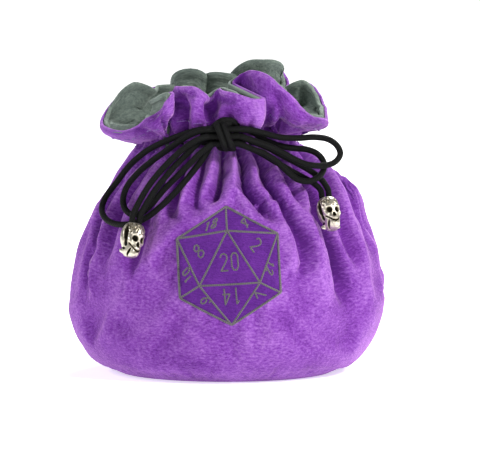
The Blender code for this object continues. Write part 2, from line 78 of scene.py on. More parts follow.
# The ruffled top edge, anticlockwise from the left tip seen from above: x, y, height
RUFFLE_EDGE = (
    (-61.5, -3, 122.4), (-58.5, -12, 120), (-51, -20, 119), (-43.5, -26.5, 121.8),
    (-36, -32, 129), (-29.5, -36.5, 135), (-25.5, -33.5, 138.5), (-29.5, -28, 139),
    (-36.5, -25.5, 137), (-40, -20.5, 133.5), (-34, -18, 136), (-26.5, -22, 141),
    (-20, -29, 142), (-13.5, -36.5, 141), (-8.5, -38, 137), (-6.5, -33.5, 136),
    (-5, -33, 140), (-1, -38, 140.5), (7, -42.5, 138.5), (15, -43.5, 136.5),
    (19.5, -40, 136.5), (16, -35.5, 139), (10, -32.5, 141.2), (5, -29.5, 142),
    (3.8, -27, 144.2), (6.5, -27.2, 147.2), (11, -31, 149.4), (17, -36.5, 149.8), (23, -40.5, 147.2),
    (30, -41.5, 142), (37.5, -39, 135.5), (44, -33.5, 129), (48.5, -25, 125.5),
    (50, -16, 124.5), (49.5, -7, 127), (48, 1, 131), (45, 8, 136),
    (41, 13.5, 139.5), (37, 16, 140), (34, 15, 138.5), (31.5, 19, 136),
    (31.5, 27, 138), (29, 32, 144), (24, 30, 149), (17, 28, 150.5),
    (10.5, 29.5, 149), (7, 33, 144), (6, 38.5, 137), (4, 38.5, 136.5),
    (3, 32.5, 140.5), (-0.5, 29, 142.2), (-5.5, 29, 142.2), (-8.6, 32.5, 140),
    (-9.6, 38, 136), (-11.4, 38, 136), (-12.3, 32, 140.5), (-15, 28.5, 143.5),
    (-20, 28.5, 143.5), (-23, 31.5, 141), (-24.5, 36.5, 135.5), (-27, 35, 135),
    (-29.5, 29.5, 136), (-35, 27, 136), (-40, 22.5, 136.5), (-42, 14, 138),
    (-46.5, 7.5, 139), (-52, 6.5, 134.5), (-58.5, 4.5, 127.5),
)

# Folds of the body: points (x, height) on the front, half-width, depth (below 0 is a ridge)
FRONT_FOLDS = (
    (((-0.5, 114), (-1, 107), (-4, 95), (-8.5, 84)), 2.1, 7),
    (((7, 114), (9, 107), (9.8, 97), (15.7, 88.5), (22, 81.5), (29, 77)), 2.1, 6.5),
    (((14, 114), (17, 107), (20.5, 98), (29.5, 84), (36.5, 71), (38, 60), (35, 46)), 2.4, 6.4),
    (((22, 113), (28, 103), (34, 92), (38, 82)), 2, 4.6),
    (((-9, 114), (-12, 102), (-14, 88), (-15.5, 78)), 2.2, 4.2),
    (((-16, 114), (-21, 102), (-26, 90), (-29, 78)), 2.3, 4),
    (((-22, 114), (-31, 100), (-39, 84), (-44, 62), (-47, 44)), 2.8, 5),
    (((-29, 114), (-41, 100), (-52, 86), (-59, 68), (-62, 50)), 2.6, 4.4),
    (((-33, 114), (-47, 100), (-60, 84), (-67, 66), (-71, 48), (-70, 34)), 2, 3.6),
    (((29, 113), (42, 98), (49, 83), (54, 69), (58, 56), (61, 44), (63, 30)), 4.2, 13),
    (((33, 113), (51, 94), (58, 80), (63, 67), (67.5, 54), (69, 42)), 2.6, 7),
    (((35, 112), (54, 101), (65, 87), (71, 72), (74, 58)), 2, 4),
    (((24, 87), (30.5, 76), (33, 66), (32.5, 50)), 2, -1.6),
    (((3, 106), (3.5, 97), (7, 89)), 2.6, -1.6),
    (((38, 92), (46, 74), (52, 56), (56, 42)), 2, -1.8),
    (((-66, 74), (-68, 56), (-66, 36)), 1.5, -1.6),
    (((-8, 100), (-10, 92), (-11, 84)), 1.8, -1.4),
    (((-52, 30), (-36, 24), (-20, 22)), 4, 1.2),
    (((-24, 36), (-8, 25), (10, 21)), 3.5, 1),
)
# Creases of the collar's front, in the same way
COLLAR_CREASES = (
    (((-19.5, 117), (-20.5, 126), (-21, 134), (-21, 142)), 2, 5),
    (((-7.5, 117), (-8, 124), (-7.5, 130), (-7, 138)), 2, 5),
    (((18, 117), (20, 124), (21, 131), (20.5, 137)), 1.6, 3),
    (((12, 118), (12.5, 124), (12, 131)), 1.1, 1.2),
    (((15.4, 118), (16, 124), (15.8, 131)), 1, 1.2),
    (((17, 117.5), (26, 121.5), (36, 119), (44, 116.5)), 1.8, 2.8),
    (((25, 119), (27, 127), (26, 135), (22, 143)), 3.2, 3),
    (((-27, 117), (-29, 123), (-33, 128)), 2, 2.4),
    (((-32, 117), (-38, 120), (-45, 122)), 1.8, 1.8),
    (((4, 118), (3, 125), (1, 132)), 2.6, 1.8),
    (((-12, 118), (-13, 126), (-12, 136)), 2.8, 1.8),
)
# Folds of the sides and back, spread over this span of degrees, with some chance in each
SIDE_AND_BACK_FOLDS = 24
SIDE_FOLDS_FROM = -20.0
SIDE_FOLDS_SPAN = 220.0
FOLD_TOP = 114.0
FOLD_SEED = 11
# The share of a fold over which it fades, and the height of its shoulders against its depth
FOLD_FADE = 0.3
FOLD_SHOULDER = 0.3
NECK_PLEATS = 44
PLEAT_SEED = 5
# How far the collar's left lobe hangs below the curve from neck to edge
LEFT_DROOP = 6.5
# The ruffled edge is shared out to the columns by its length, for this share, and by its angle
EVEN_SHARE = 0.55
EDGE_STEP = 0.25
EDGE_WINDOW = 61
# How much of the folds' depth the emblem's stitching takes away
CALM_SHARE = 0.85

# The cloth's grid, and its thickness at the body, at the sewn top edge and in the collar
CLOTH_COLUMNS = 320
BODY_ROWS = 110
COLLAR_ROWS = 44
INNER_STEP = 4
OUTER_FLOOR = (0.02, 0.3, 0.6, 0.85, 0.96)
INNER_FLOOR = (1, 0.85, 0.5, 0.02)
UV_RADIUS = 70.0
PLUSH_THICKNESS = 1.8
PLUSH_RIM = 1.6
LINING_THICKNESS = 1.3
LINING_RIM = 2.2
COLLAR_SHARE = 0.6

# Where the lining lies behind the plush, and the stitches that close the cord's channel
LINING_GAP = 0.3
CHANNEL_ROOM = 4.0
BODY_LINING_ROOM = 1.5
LINING_DROP = 1.0
LINING_RISE = 0.7
LINING_LIFT = 2.0
MOST_PUSH = 4.0
VALLEY_REACH = 7
CHANNEL_STITCHES = {"lower": 109.5, "upper": 123.0}
STITCH_RADIUS = 0.3
STITCH_OUTSET = 0.15
STITCH_COLUMNS = 4

# Painted light in the pile's colour, from how far the cloth stands out: painted shade in the folds' valleys,
# painted highlight on the ridges, the collar darker all over, and its sewn edge lighter as a painted
# highlight
COLLAR_DARKENING = 2.3
EDGE_HIGHLIGHT = 1.5
SHADED_RELIEF_RANGE = (-3, 2)
PAINTED_SHADE_RANGE = (-0.13, 0.07)

# Cloth simulation, on every second row and column and at ten times the size
SIM_STEP = 2
SIM_SCALE = 10.0
SIM_FRAMES = 22
SIM_GRAVITY = 0.35
SIM_SETTINGS = {
    "vertex_group_mass": "held", "pin_stiffness": 1, "quality": 6, "mass": 0.3,
    "tension_stiffness": 20, "compression_stiffness": 20, "shear_stiffness": 8,
    "bending_stiffness": 1.2, "air_damping": 3, "shrink_min": -0.045,
}
# The furthest that the simulation may move the cloth
MOST_OUTWARD = 1.6
MOST_INWARD = 3.5

# Cord
CORD_RADIUS = 1.5
CORD_SIDES = 16
CORD_STEP = 0.8
KNOT_CENTRE = Vector((0, -41.6, 119))
LOOP_ROUTES = {
    "left_outer_loop": (
        (-6.3, -39.8, 122.5), (-13.5, -38, 121.5), (-21, -35, 119), (-29, -30.5, 115.5),
        (-38, -26, 110.5), (-46, -22.5, 103.5), (-53, -21, 94.5), (-58.5, -22.5, 87),
        (-60, -26.5, 81.5), (-57.5, -33, 77.5), (-52, -40.2, 76), (-45, -46, 77),
        (-37.5, -49, 80.5), (-29.5, -49, 87), (-22.5, -47, 94), (-16, -44, 101.5),
        (-10.5, -40.8, 108.5), (-6.3, -39.8, 115.5),
    ),
    "left_inner_loop": (
        (-6.3, -43.4, 122.5), (-12.5, -42, 121.5), (-19.5, -39, 118), (-27, -35.5, 112.5),
        (-35, -33, 106.5), (-42.5, -31.5, 100), (-48, -32.5, 93), (-49.5, -36.5, 86),
        (-46.5, -41.5, 81.5), (-41, -45.3, 81.8), (-35.5, -46, 86.5), (-29.5, -45.5, 93.5),
        (-23.5, -45, 99.5), (-17.5, -45, 105.5), (-12, -44.6, 111), (-6.3, -43.4, 115.5),
    ),
    "right_upper_loop": (
        (6.3, -43.4, 122.5), (11.5, -43.2, 122.3), (18.5, -42, 120.5), (26.5, -40.5, 118.3),
        (35, -39.3, 117.8), (43, -38.8, 118.2), (49.5, -39.2, 117.3), (54, -40.2, 114.2),
        (55.5, -41.2, 110), (52.5, -42.6, 106.2), (46.5, -43.4, 104.8), (39.5, -44, 105.5),
        (33.5, -44.3, 108), (27, -44.3, 111.5), (20, -44.2, 114.8), (12, -43.8, 117.5),
        (7.2, -43.4, 119),
    ),
    "right_lower_loop": (
        (6.3, -39.8, 122.5), (12.4, -38.6, 121), (19, -37.6, 116.9), (26, -36.6, 114),
        (33, -36, 112.6), (39.5, -36, 112), (45, -37, 109.6), (47.8, -38.8, 105),
        (46, -41.2, 100), (40.5, -43, 97.2), (34.8, -43.8, 98.3), (30, -44, 102),
        (25, -44, 106.8), (19, -43.8, 110.8), (12, -43.6, 113.3), (6.3, -43.4, 115.5),
    ),
}
TAIL_ROUTES = {
    "left_tail_cord_a": (
        (-7.2, -43.4, 119), (-12.5, -43.5, 117.8), (-19.5, -43.5, 113.5), (-26, -44, 107.8),
        (-32.5, -45.5, 101), (-38.5, -48, 93),
    ),
    "left_tail_cord_b": (
        (-7.2, -39.8, 119), (-11.7, -40, 116.8), (-17.2, -41.5, 111.6), (-23.4, -44, 105.6),
        (-29.4, -46.2, 98.9), (-35, -48.8, 91.8),
    ),
    "right_tail_cord_a": (
        (7.2, -39.8, 119), (12.5, -37.7, 116.2), (19.5, -35.5, 113.2), (26.5, -34.3, 109.5),
        (33.5, -34.2, 105.8), (40, -35, 102.2), (45.8, -37, 98.2),
    ),
    "right_tail_cord_b": (
        (6.3, -39.8, 115.5), (11.5, -38, 113), (18, -36.5, 109.8), (24.5, -35.7, 105.8),
        (31, -35.5, 102), (37, -36.2, 98.8), (42.2, -37.7, 96.1),
    ),
}
# How far above the bead's centre each tail's straight points and its end lie, and how far beside it
TAIL_STRAIGHT = (13.5, 9.5, 4.5)
TAIL_END = -0.7
TAIL_OFFSET = 1.7
# Where each strand passes through the knot: y, height
STRANDS_IN_KNOT = (
    (-39.8, 122.5), (-43.4, 122.5), (-39.8, 119), (-43.4, 119), (-39.8, 115.5), (-43.4, 115.5),
)
# The strands reach this far to each side. The wraps lie round them, and the arc on top
STRAND_REACH = 7.0
WRAP_OFFSETS = (-1.9, 1.3)
WRAP_LEAN = 0.38
WRAP_HALF_DEPTH = 4.9
WRAP_HALF_HEIGHT = 6.1
KNOT_ARC = (
    (-8.5, -39.5, 118.5), (-6.4, -41.8, 122.6), (-2.2, -42.6, 126.3), (2.6, -42, 126.6),
    (6, -39.5, 124.2),
)

# Beads
BEAD_CENTRES = {"left": Vector((-45, -56, 69.9)), "right": Vector((50.2, -45.9, 81.4))}
BEAD_TOPS = {"left": Vector((-43.35, -53.6, 77.9)), "right": Vector((48.6, -42, 88.8))}
BEAD_FACING = {"left": Vector((0.53, -0.84, -0.1)), "right": Vector((0.38, -0.92, 0))}
# Skull: height, half-width, front, back
SKULL_OUTLINE = (
    (-8.5, 1.8, -4.6, 1), (-8.1, 2.6, -5.8, 1.8), (-7.2, 3.2, -6.4, 2.4), (-6, 3.6, -6.7, 3),
    (-4.5, 3.9, -6.7, 4), (-3, 4.3, -6.3, 5.1), (-1.5, 4.8, -6.2, 6.2), (0.5, 5.2, -6.4, 6.9),
    (3, 5.3, -6.6, 7.2), (5.4, 5, -6.1, 6.6), (7.3, 4.2, -4.7, 5), (8.2, 3.2, -3.1, 3.5),
    (8.5, 1.8, -1.7, 1.9),
)
# Marks on the skull: degrees round from the face, height, half-width, half-height, tilt, depth
SKULL_MARKS = (
    (24, 0.2, 1.45, 1.15, 12, 2),
    (24, 2.2, 2.4, 0.8, 10, -0.45),
    (45, -1.3, 1.5, 1, 25, -0.55),
    (3.5, -2.5, 0.75, 1.15, 20, 1.5),
    (8, -4.1, 2, 0.9, 0, -0.35),
    (78, 2.4, 1.15, 3.4, -8, 1.7),
    (76, -2.3, 0.85, 1.25, 0, 1.5),
    (58, -6.4, 0.55, 2.1, 38, 1.3),
    (12, -7.4, 1.6, 0.9, 0, -0.5),
    (112, -6.2, 1, 1, 0, -1.6),
)
SKULL_GRIN = ((-56, -2.3), (-40, -3.7), (-22, -5.2), (0, -5.9), (22, -5.2), (40, -3.7), (56, -2.3))
ENGRAVED_DENTS = 70
DENT_SEED = 23
DENT_DEPTH = 0.5
DENT_RADIUS = 6.2
MARK_RADIUS = 6.4
GRIN_DEPTH = 0.85
GRIN_HALF_HEIGHT = 0.42
TOOTH_DEPTH = 0.18
TEETH_ROUND = 30
SKULL_HALF_HEIGHT = 8.5
SKULL_ROWS = 110
SKULL_COLUMNS = 144

# Embroidered die
DIE_CENTRE = (1.7, 58)
DIE_RADIUS = 28.0
DIE_INNER_SHARE = 0.6
DIE_TURN = 3.0
DIE_LINE_WIDTH = 1.05
NUMERAL_WIDTH = 0.85
# Numerals: text, x and y from the die's centre, height, degrees turned, width share, slant
DIE_NUMERALS = (
    ("20", 0.4, 2.2, 8.2, 2, 0.85, 0),
    ("14", 0.6, -14, 7.8, 182, 0.85, 0),
    ("8", -14, 7.9, 6, 52, 1.1, 0.25),
    ("2", 13.6, 9.4, 6, -56, 1.1, -0.25),
    ("18", -7.6, 19.8, 3.4, 22, 1.5, 0.9),
    ("4", 8.4, 20.2, 3.6, -24, 2, -0.9),
    ("10", -20.2, -3.2, 3.4, 100, 1.4, -0.6),
    ("12", 19.6, -1.6, 3.4, -98, 1.4, 0.6),
    ("6", -11.8, -15.6, 4.4, 250, 1.4, -0.4),
    ("7", 14.8, -14.4, 4.4, 112, 1.4, 0.4),
)
# The die's field is rings of triangles, lifted off the plush, with its rim sunk into it
FIELD_RINGS = 26
FIELD_LIFT = 0.25
FIELD_SINK = 0.2
FIELD_THICKNESS = 0.5
STITCH_STEP = 0.45
# Across a ribbon of thread: share of its width, share of its height
THREAD_PROFILE = ((-0.5, 0), (-0.44, 0.38), (-0.2, 0.62), (0.2, 0.62), (0.44, 0.38), (0.5, 0))
THREAD_RISE = 0.85
THREAD_STEP = 0.05
# The stroke of each numeral in a box 0.6 wide and 1 high
STROKES = {
    "0": ((0.08, 0.2), (0.08, 0.8), (0.2, 0.98), (0.4, 0.98), (0.52, 0.8), (0.52, 0.2),
          (0.4, 0.02), (0.2, 0.02), (0.08, 0.2)),
    "1": ((0.14, 0.8), (0.32, 1), (0.32, 0)),
    "2": ((0.06, 0.78), (0.14, 0.95), (0.32, 1), (0.5, 0.9), (0.52, 0.72), (0.4, 0.48),
          (0.05, 0.02), (0.55, 0.02)),
    "4": ((0.42, 0), (0.42, 1), (0.04, 0.36), (0.58, 0.36)),
    "6": ((0.5, 0.9), (0.34, 1), (0.18, 0.92), (0.07, 0.6), (0.07, 0.22), (0.2, 0.02),
          (0.4, 0.02), (0.53, 0.2), (0.5, 0.44), (0.34, 0.56), (0.1, 0.46)),
    "7": ((0.04, 1), (0.56, 1), (0.24, 0)),
    "8": ((0.3, 0.53), (0.1, 0.68), (0.1, 0.88), (0.3, 1), (0.5, 0.88), (0.5, 0.68),
          (0.3, 0.53), (0.06, 0.32), (0.08, 0.1), (0.3, 0), (0.52, 0.1), (0.54, 0.32),
          (0.3, 0.53)),
}
# From one numeral to the next, and the space before each, as shares of its height
NUMERAL_ADVANCE = 0.74
NUMERAL_MARGIN = 0.07

# Colours of the pile: place in the noise, linear colour
PLUSH_STOPS = ((0.38, (0.10, 0.013, 0.205)), (0.5, (0.18, 0.043, 0.327)), (0.64, (0.315, 0.124, 0.48)))
PLUSH_SHEEN = (0.83, 0.44, 0.95, 1)
LINING_STOPS = ((0.36, (0.075, 0.10, 0.09)), (0.5, (0.13, 0.165, 0.145)), (0.66, (0.22, 0.27, 0.23)))
LINING_SHEEN = (0.75, 0.85, 0.78, 1)

# The camera, as a long lens straight in front and a little above
CAMERA_TARGET = Vector((0.0071, 0, 0.0661))
CAMERA_ELEVATION = math.radians(6)
CAMERA_LENS = 500.0
CAMERA_SENSOR = 36.0
VIEW_WIDTH = 0.2352
# Lights: name, place, size, power, colour, all aimed at the middle of the bag
LIGHTS = (
    ("key", (0.9, -0.75, 0.85), 0.25, 20, (1, 0.98, 0.96)),
    ("left", (-1.1, -0.1, 0.7), 0.3, 7, (0.96, 0.97, 1)),
    ("rim", (0.15, 0.8, 0.9), 0.5, 14, (1, 1, 1)),
    ("front", (-0.1, -1.4, 0.2), 0.8, 3, (1, 1, 1)),
)
LIGHT_AIM = Vector((0, 0, 0.07))
WORLD_STRENGTH = 0.13
FLOOR_REACH = 9.0
FLOOR_DROP = 0.0002
# The floor glows evenly near the bag, and a little more beyond
GLOW_DISTANCES = (0.15, 0.9)
FLOOR_GLOWS = (0.6, 1)


# ---- small helpers


def smooth_step(x):
    x = np.clip(x, 0.0, 1.0)
    return x * x * (3 - 2 * x)


def unit(vectors):
    """The vectors along the last axis, each at length 1."""
    return vectors / np.maximum(1e-9, np.linalg.norm(vectors, axis=-1, keepdims=True))


def lengths_along(path):
    """The distance along a path to each of its points."""
    return np.append(0.0, np.cumsum(np.linalg.norm(np.diff(path, axis=0), axis=1)))


def points_at(places, along, path):
    """The path's points at these distances along it."""
    return np.stack([np.interp(places, along, path[:, k]) for k in range(3)], axis=1)


def spline(before, start, end, after, u):
    """The point at share u of the way from start to end, on a smooth curve through all four."""
    linear = (end - before) * u
    square = (2 * before - 5 * start + 4 * end - after) * u**2
    cube = (3 * start - before - 3 * end + after) * u**3
    return start + 0.5 * (linear + square + cube)


def curve_through(points, step, closed=False):
    """Evenly spaced points, as an array, on a smooth curve through the given ones."""
    points = np.array([tuple(point) for point in points], dtype=float)
    if closed:
        ends = np.vstack([points[-1], points, points[0], points[1]])
    else:
        ends = np.vstack([2 * points[0] - points[1], points, 2 * points[-1] - points[-2]])
    u = np.linspace(0, 1, 20, endpoint=False)[:, None]
    fine = [spline(*four, u) for four in zip(ends, ends[1:], ends[2:], ends[3:])]
    fine = np.vstack(fine + [points[:1] if closed else points[-1:]])
    along = lengths_along(fine)
    count = max(2, round(along[-1] / step))
    even = points_at(np.linspace(0, along[-1], count + 1), along, fine)
    return even[:-1] if closed else even


def read_table(table, place):
    """A table's further columns, read at a place in its first column."""
    table = np.array(table)
    return [np.interp(place, table[:, 0], column) for column in table.T[1:]]


def new_object(name, mesh, material):
    obj = bpy.data.objects.new(name, mesh)
    bpy.context.scene.collection.objects.link(obj)
    mesh.materials.clear()
    mesh.materials.append(material)
    return obj


def mesh_of(name, points, faces, uvs=None):
    """A smooth mesh from points in millimetres, with a UV for each corner of each face."""
    mesh = bpy.data.meshes.new(name)
    mesh.from_pydata((np.asarray(points) * MM).tolist(), [], faces)
    if uvs is not None:
        layer = mesh.uv_layers.new(name="UVMap")
        layer.data.foreach_set("uv", np.asarray(uvs, dtype=np.float32).ravel())
    mesh.validate()
    mesh.shade_smooth()
    return mesh


def add_values(mesh, name, values):
    """One number for each point, which a material reads by this name."""
    layer = mesh.attributes.new(name, "FLOAT", "POINT")
    layer.data.foreach_set("value", np.asarray(values, dtype=np.float32))


def grid_corners(rows, columns):
    """The (row, column) corners of each quad of a ring grid. One past the last column is the first."""
    return [
        ((row, column), (row, column + 1), (row + 1, column + 1), (row + 1, column))
        for row in range(rows - 1)
        for column in range(columns)
    ]


def ring_faces(rows, columns):
    """The quads of a grid whose columns close into a ring."""
    return [
        tuple(row * columns + column % columns for row, column in corners)
        for corners in grid_corners(rows, columns)
    ]


def end_fans(rows, columns):
    """Triangles from a ring grid's first and last rows to two middle points listed after it."""
    last = (rows - 1) * columns
    faces = []
    for column in range(columns):
        after = (column + 1) % columns
        faces.append((rows * columns, after, column))
        faces.append((rows * columns + 1, last + column, last + after))
    return faces


def surface_tree(grid):
    """A ring grid's surface, as a tree that finds the place nearest to a point or hit by a ray."""
    return BVHTree.FromPolygons(grid.reshape(-1, 3).tolist(), ring_faces(*grid.shape[:2]))


def stand_for(piece, nodes, body):
    """Makes a piece stand for CAD nodes, which it hides, moving with this body."""
    if nodes:
        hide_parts(*nodes)
    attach(piece, body)


def join(name, objects):
    for obj in bpy.context.selected_objects:
        obj.select_set(False)
    for obj in objects:
        obj.select_set(True)
    bpy.context.view_layer.objects.active = objects[0]
    bpy.ops.object.join()
    objects[0].name = name
    objects[0].select_set(False)
    return objects[0]


# ---- cloth shape


def outline_at(t):
    """Height, half-width and half-depth of the body at each t from 0 to 1, as an array."""
    table = np.array(BODY_OUTLINE)
    last = len(table) - 1
    place = np.clip(t, 0, 1) * last
    index = np.clip(place.astype(int), 0, last - 1)
    before = table[np.maximum(index - 1, 0)]
    after = table[np.minimum(index + 2, last)]
    return spline(before, table[index], table[index + 1], after, (place - index)[..., None])


def lean_at(height):
    low, high = LEAN_HEIGHTS
    return NECK_SHIFT * smooth_step((height - low) / (high - low))


def fullness_at(height, angles):
    """How far the cloth at each height and angle hangs out sideways beyond the outline."""
    left, right = read_table(SIDE_FULLNESS, height)
    sideways = np.cos(angles)
    return np.where(sideways > 0, right, -left) * sideways**4


def body_points(height, half_width, half_depth, angles):
    """Points of the smooth body at these angles, anticlockwise from its right side."""
    x = lean_at(height) + half_width * np.cos(angles) + fullness_at(height, angles)
    return np.stack([x, half_depth * np.sin(angles), height + 0 * angles], axis=-1)


def grid_normals(grid):
    """Outward unit normals of a grid whose columns go round anticlockwise."""
    along = np.roll(grid, -1, axis=1) - np.roll(grid, 1, axis=1)
    return unit(np.cross(along, np.gradient(grid, axis=0)))


def around_surface_point(degrees, height):
    """The smooth body's surface at these degrees and this height."""
    ts = np.linspace(0, 1, 400)
    t = np.interp(height, outline_at(ts)[:, 0], ts)
    _, half_width, half_depth = outline_at(np.array([t]))[0]
    return body_points(np.array(height), half_width, half_depth, np.radians(degrees))


def front_surface_point(x, height):
    """The smooth body's front at this x and height."""
    degrees = np.linspace(-176, -4, 173)
    found = np.interp(x, around_surface_point(degrees, height)[:, 0], degrees)
    return around_surface_point(found, height)


def fold_profile(points, line, half_width, depth):
    """Inward movement of each point for one fold, deepest on its line, fading at its lower end."""
    nearest = np.full(points.shape[:-1], 1e9)
    place = np.zeros(points.shape[:-1])
    for k, (start, end) in enumerate(zip(line, line[1:])):
        side = end - start
        share = np.clip(((points - start) @ side) / (side @ side), 0, 1)
        away = np.linalg.norm(points - (start + share[..., None] * side), axis=-1)
        closer = away < nearest
        nearest = np.where(closer, away, nearest)
        place = np.where(closer, (k + share) / (len(line) - 1), place)
    width = half_width * (0.75 + 0.6 * place)
    valley = 1.0 / (1.0 + (nearest / width) ** 2) ** 1.3
    shoulder = FOLD_SHOULDER * np.exp(-(((nearest - 2.7 * width) / (1.2 * width)) ** 2))
    return depth * smooth_step((1.0 - place) / FOLD_FADE) * (valley - shoulder)


def folded(points, folds, place_on, step):
    """Inward movement of each point for all these folds, with place_on to put their corners on the cloth."""
    total = np.zeros(points.shape[:-1])
    for corners, half_width, depth in folds:
        line = curve_through([place_on(*corner) for corner in corners], step)
        total += fold_profile(points, line, half_width, depth)
    return total


def side_and_back_folds():
    """Folds that run down at random places, with their corners as (degrees, height)."""
    chance = random.Random(FOLD_SEED)
    folds = []
    for k in range(SIDE_AND_BACK_FOLDS):
        start = SIDE_FOLDS_FROM + SIDE_FOLDS_SPAN * (k + chance.uniform(0.2, 0.8)) / SIDE_AND_BACK_FOLDS
        drift = chance.uniform(-4, 4)
        drop = chance.uniform(36, 84) - FOLD_TOP
        corners = [(start + drift * share, FOLD_TOP + drop * share) for share in (0, 0.25, 0.5, 0.75, 1)]
        folds.append((corners, chance.uniform(2.0, 3.4), chance.uniform(3.0, 6.0)))
    return folds


def body_folds(points):
    front = folded(points, FRONT_FOLDS, front_surface_point, 4.0)
    return front + folded(points, side_and_back_folds(), around_surface_point, 5.0)


def collar_creases(points):
    """Inward movement of the collar's front for its creases."""
    flat = points * (1, 0, 1)
    total = folded(flat, COLLAR_CREASES, lambda x, height: (x, 0, height), 3.0)
    facing = smooth_step(-grid_normals(points)[..., 1] / 0.3)
    return total * facing * smooth_step((-points[..., 1] - 16) / 8)


def neck_pleats(angles, height):
    """Inward movement for the small tight pleats at the neck, above and below the cord."""
    chance = random.Random(PLEAT_SEED)
    total = np.zeros(height.shape[:1] + angles.shape)
    for k in range(NECK_PLEATS):
        centre = 2 * math.pi * (k + chance.uniform(0.15, 0.85)) / NECK_PLEATS
        width = math.radians(chance.uniform(1.3, 2.4))
        depth = chance.uniform(0.9, 2.2)
        reach = chance.uniform(10, 26)
        apart = (angles - centre + math.pi) % (2 * math.pi) - math.pi
        below = np.exp(-(((NECK_HEIGHT - height) / reach) ** 2))
        total += depth * below * np.exp(-((apart / width) ** 2))
    return total


def lumps(points, scale, seed):
    """Smooth noise, from about -1 to 1, at each point in millimetres."""
    offset = Vector((seed, 2 * seed, 3 * seed))
    values = [noise.noise(Vector(point) / scale + offset) for point in points.reshape(-1, 3)]
    return np.array(values).reshape(points.shape[:-1])


def edge_for_columns(angles):
    """The ruffled edge's point for each column, shared out partly by length and partly by angle."""
    fine = curve_through(RUFFLE_EDGE, EDGE_STEP, closed=True)
    ring = np.vstack([fine, fine[:1]])
    along = lengths_along(ring)
    whole = 2 * math.pi
    turned = (angles - math.pi) % whole
    polar = np.unwrap(np.arctan2(ring[:, 1], ring[:, 0] - NECK_SHIFT))
    polar = (polar - polar[0]) / (polar[-1] - polar[0]) * whole
    padded = np.concatenate([polar[-EDGE_WINDOW:] - whole, polar, polar[:EDGE_WINDOW] + whole])
    averaged = np.convolve(padded, np.ones(EDGE_WINDOW) / EDGE_WINDOW, mode="same")
    rising = np.maximum.accumulate(averaged[EDGE_WINDOW:-EDGE_WINDOW])
    rising += np.linspace(0, 1e-6, len(rising))
    by_length = turned / whole * along[-1]
    by_angle = np.interp(turned, rising, along)
    return points_at(EVEN_SHARE * by_length + (1 - EVEN_SHARE) * by_angle, along, ring)


def collar_grid(neck_row, angles):
    """The collar, which flares from the neck almost at once and then stands up to its edge."""
    edge = edge_for_columns(angles)
    reach = edge - neck_row
    outward = unit(edge[:, :2] - np.array([NECK_SHIFT, 0.0]))
    rows = []
    for s in np.linspace(0, 1, COLLAR_ROWS + 1)[1:]:
        row = neck_row.copy()
        row[:, :2] += reach[:, :2] * (1 - (1 - s) ** 2.1)
        row[:, 2] += reach[:, 2] * s**1.2
        row[:, :2] += outward * 2.2 * math.sin(math.pi * s) ** 2
        droop = LEFT_DROOP * (1 - s) ** 1.6 * min(1.0, s / 0.08)
        row[:, 2] -= droop * np.maximum(0, -np.cos(angles)) ** 4
        rows.append(row)
    return np.stack(rows)


def emblem_calm(points):
    """1 away from the emblem and lower on it, as the stitching holds the cloth flat."""
    x = points[..., 0] - DIE_CENTRE[0]
    up = points[..., 2] - DIE_CENTRE[1]
    flat_to_flat = [abs(x), abs(0.5 * x + 0.866 * up), abs(0.5 * x - 0.866 * up)]
    away = np.max(flat_to_flat, axis=0) / (0.866 * DIE_RADIUS)
    front = smooth_step(-points[..., 1] / 10.0)
    return 1 - CALM_SHARE * front * smooth_step((1.12 - away) / 0.2)


def plush_grid():
    """The plush's whole outside: rows from the base rim to the ruffled edge."""
    angles = np.linspace(0, 2 * math.pi, CLOTH_COLUMNS, endpoint=False)
    outline = outline_at(np.linspace(0, 1, BODY_ROWS + 1)).T[:, :, None]
    body = body_points(*outline, angles)
    normals = grid_normals(body)
    inward = body_folds(body) + neck_pleats(angles, body[:, :1, 2])
    inward -= 0.9 * lumps(body, 26.0, 3.0) + 0.35 * lumps(body, 9.0, 7.0)
    inward *= smooth_step((body[..., 2] - 1.0) / 12.0) * emblem_calm(body)
    body = body - normals * inward[..., None]
    collar = collar_grid(body[-1], angles)
    fine = 0.5 * lumps(collar, 10.0, 5.0) + 0.25 * lumps(collar, 4.5, 9.0) - collar_creases(collar)
    collar = collar + grid_normals(collar) * fine[..., None]
    return relaxed(np.concatenate([body, collar]))


def rows_from_top(grid):
    return np.arange(len(grid))[::-1, None]


def smoothed(grid, times):
    """The grid with each point averaged with the two beside it, this many times over."""
    for _ in range(times):
        grid = (grid + np.roll(grid, 1, axis=1) + np.roll(grid, -1, axis=1)) / 3
    return grid


# ---- cloth shells


def cloth_thickness(grid, thickness, rim):
    """The cloth's thickness at each point: less in the collar, and its own at the sewn top edge."""
    collar = smooth_step((grid[..., 2] - NECK_HEIGHT) / 6)
    spread = thickness * (1 - (1 - COLLAR_SHARE) * collar)
    return rim + (spread - rim) * smooth_step(rows_from_top(grid) / 5.0)


def lip_rows(edge, normals, upward, thickness):
    """Rows that round the cloth's top edge over from its outside to its inside."""
    rows = []
    for turn in np.linspace(0, math.pi, 6)[1:-1]:
        inward = thickness / 2 * (1 - math.cos(turn))
        rise = thickness / 2 * math.sin(turn)
        rows.append(edge - normals * inward + upward * rise)
    return np.stack(rows)


def relief_of(grid, normals):
    """How far each point stands out from the cloth round it, which paints shade into the valleys and
    highlight onto the ridges: lower over the whole collar, and high at its sewn edge as a painted highlight.
    """
    relief = ((grid - smoothed(grid, 40)) * normals).sum(axis=2)
    relief -= COLLAR_DARKENING * smooth_step((grid[..., 2] - NECK_HEIGHT) / 6)
    return relief + (EDGE_HIGHLIGHT + COLLAR_DARKENING) * (1 - smooth_step(rows_from_top(grid) / 4))


def floor_rows(rim, shares):
    """Rows between the middle of the floor, at share 0, and its rim, at share 1."""
    middle = rim.mean(axis=0)
    return np.stack([middle + (rim - middle) * share for share in shares])


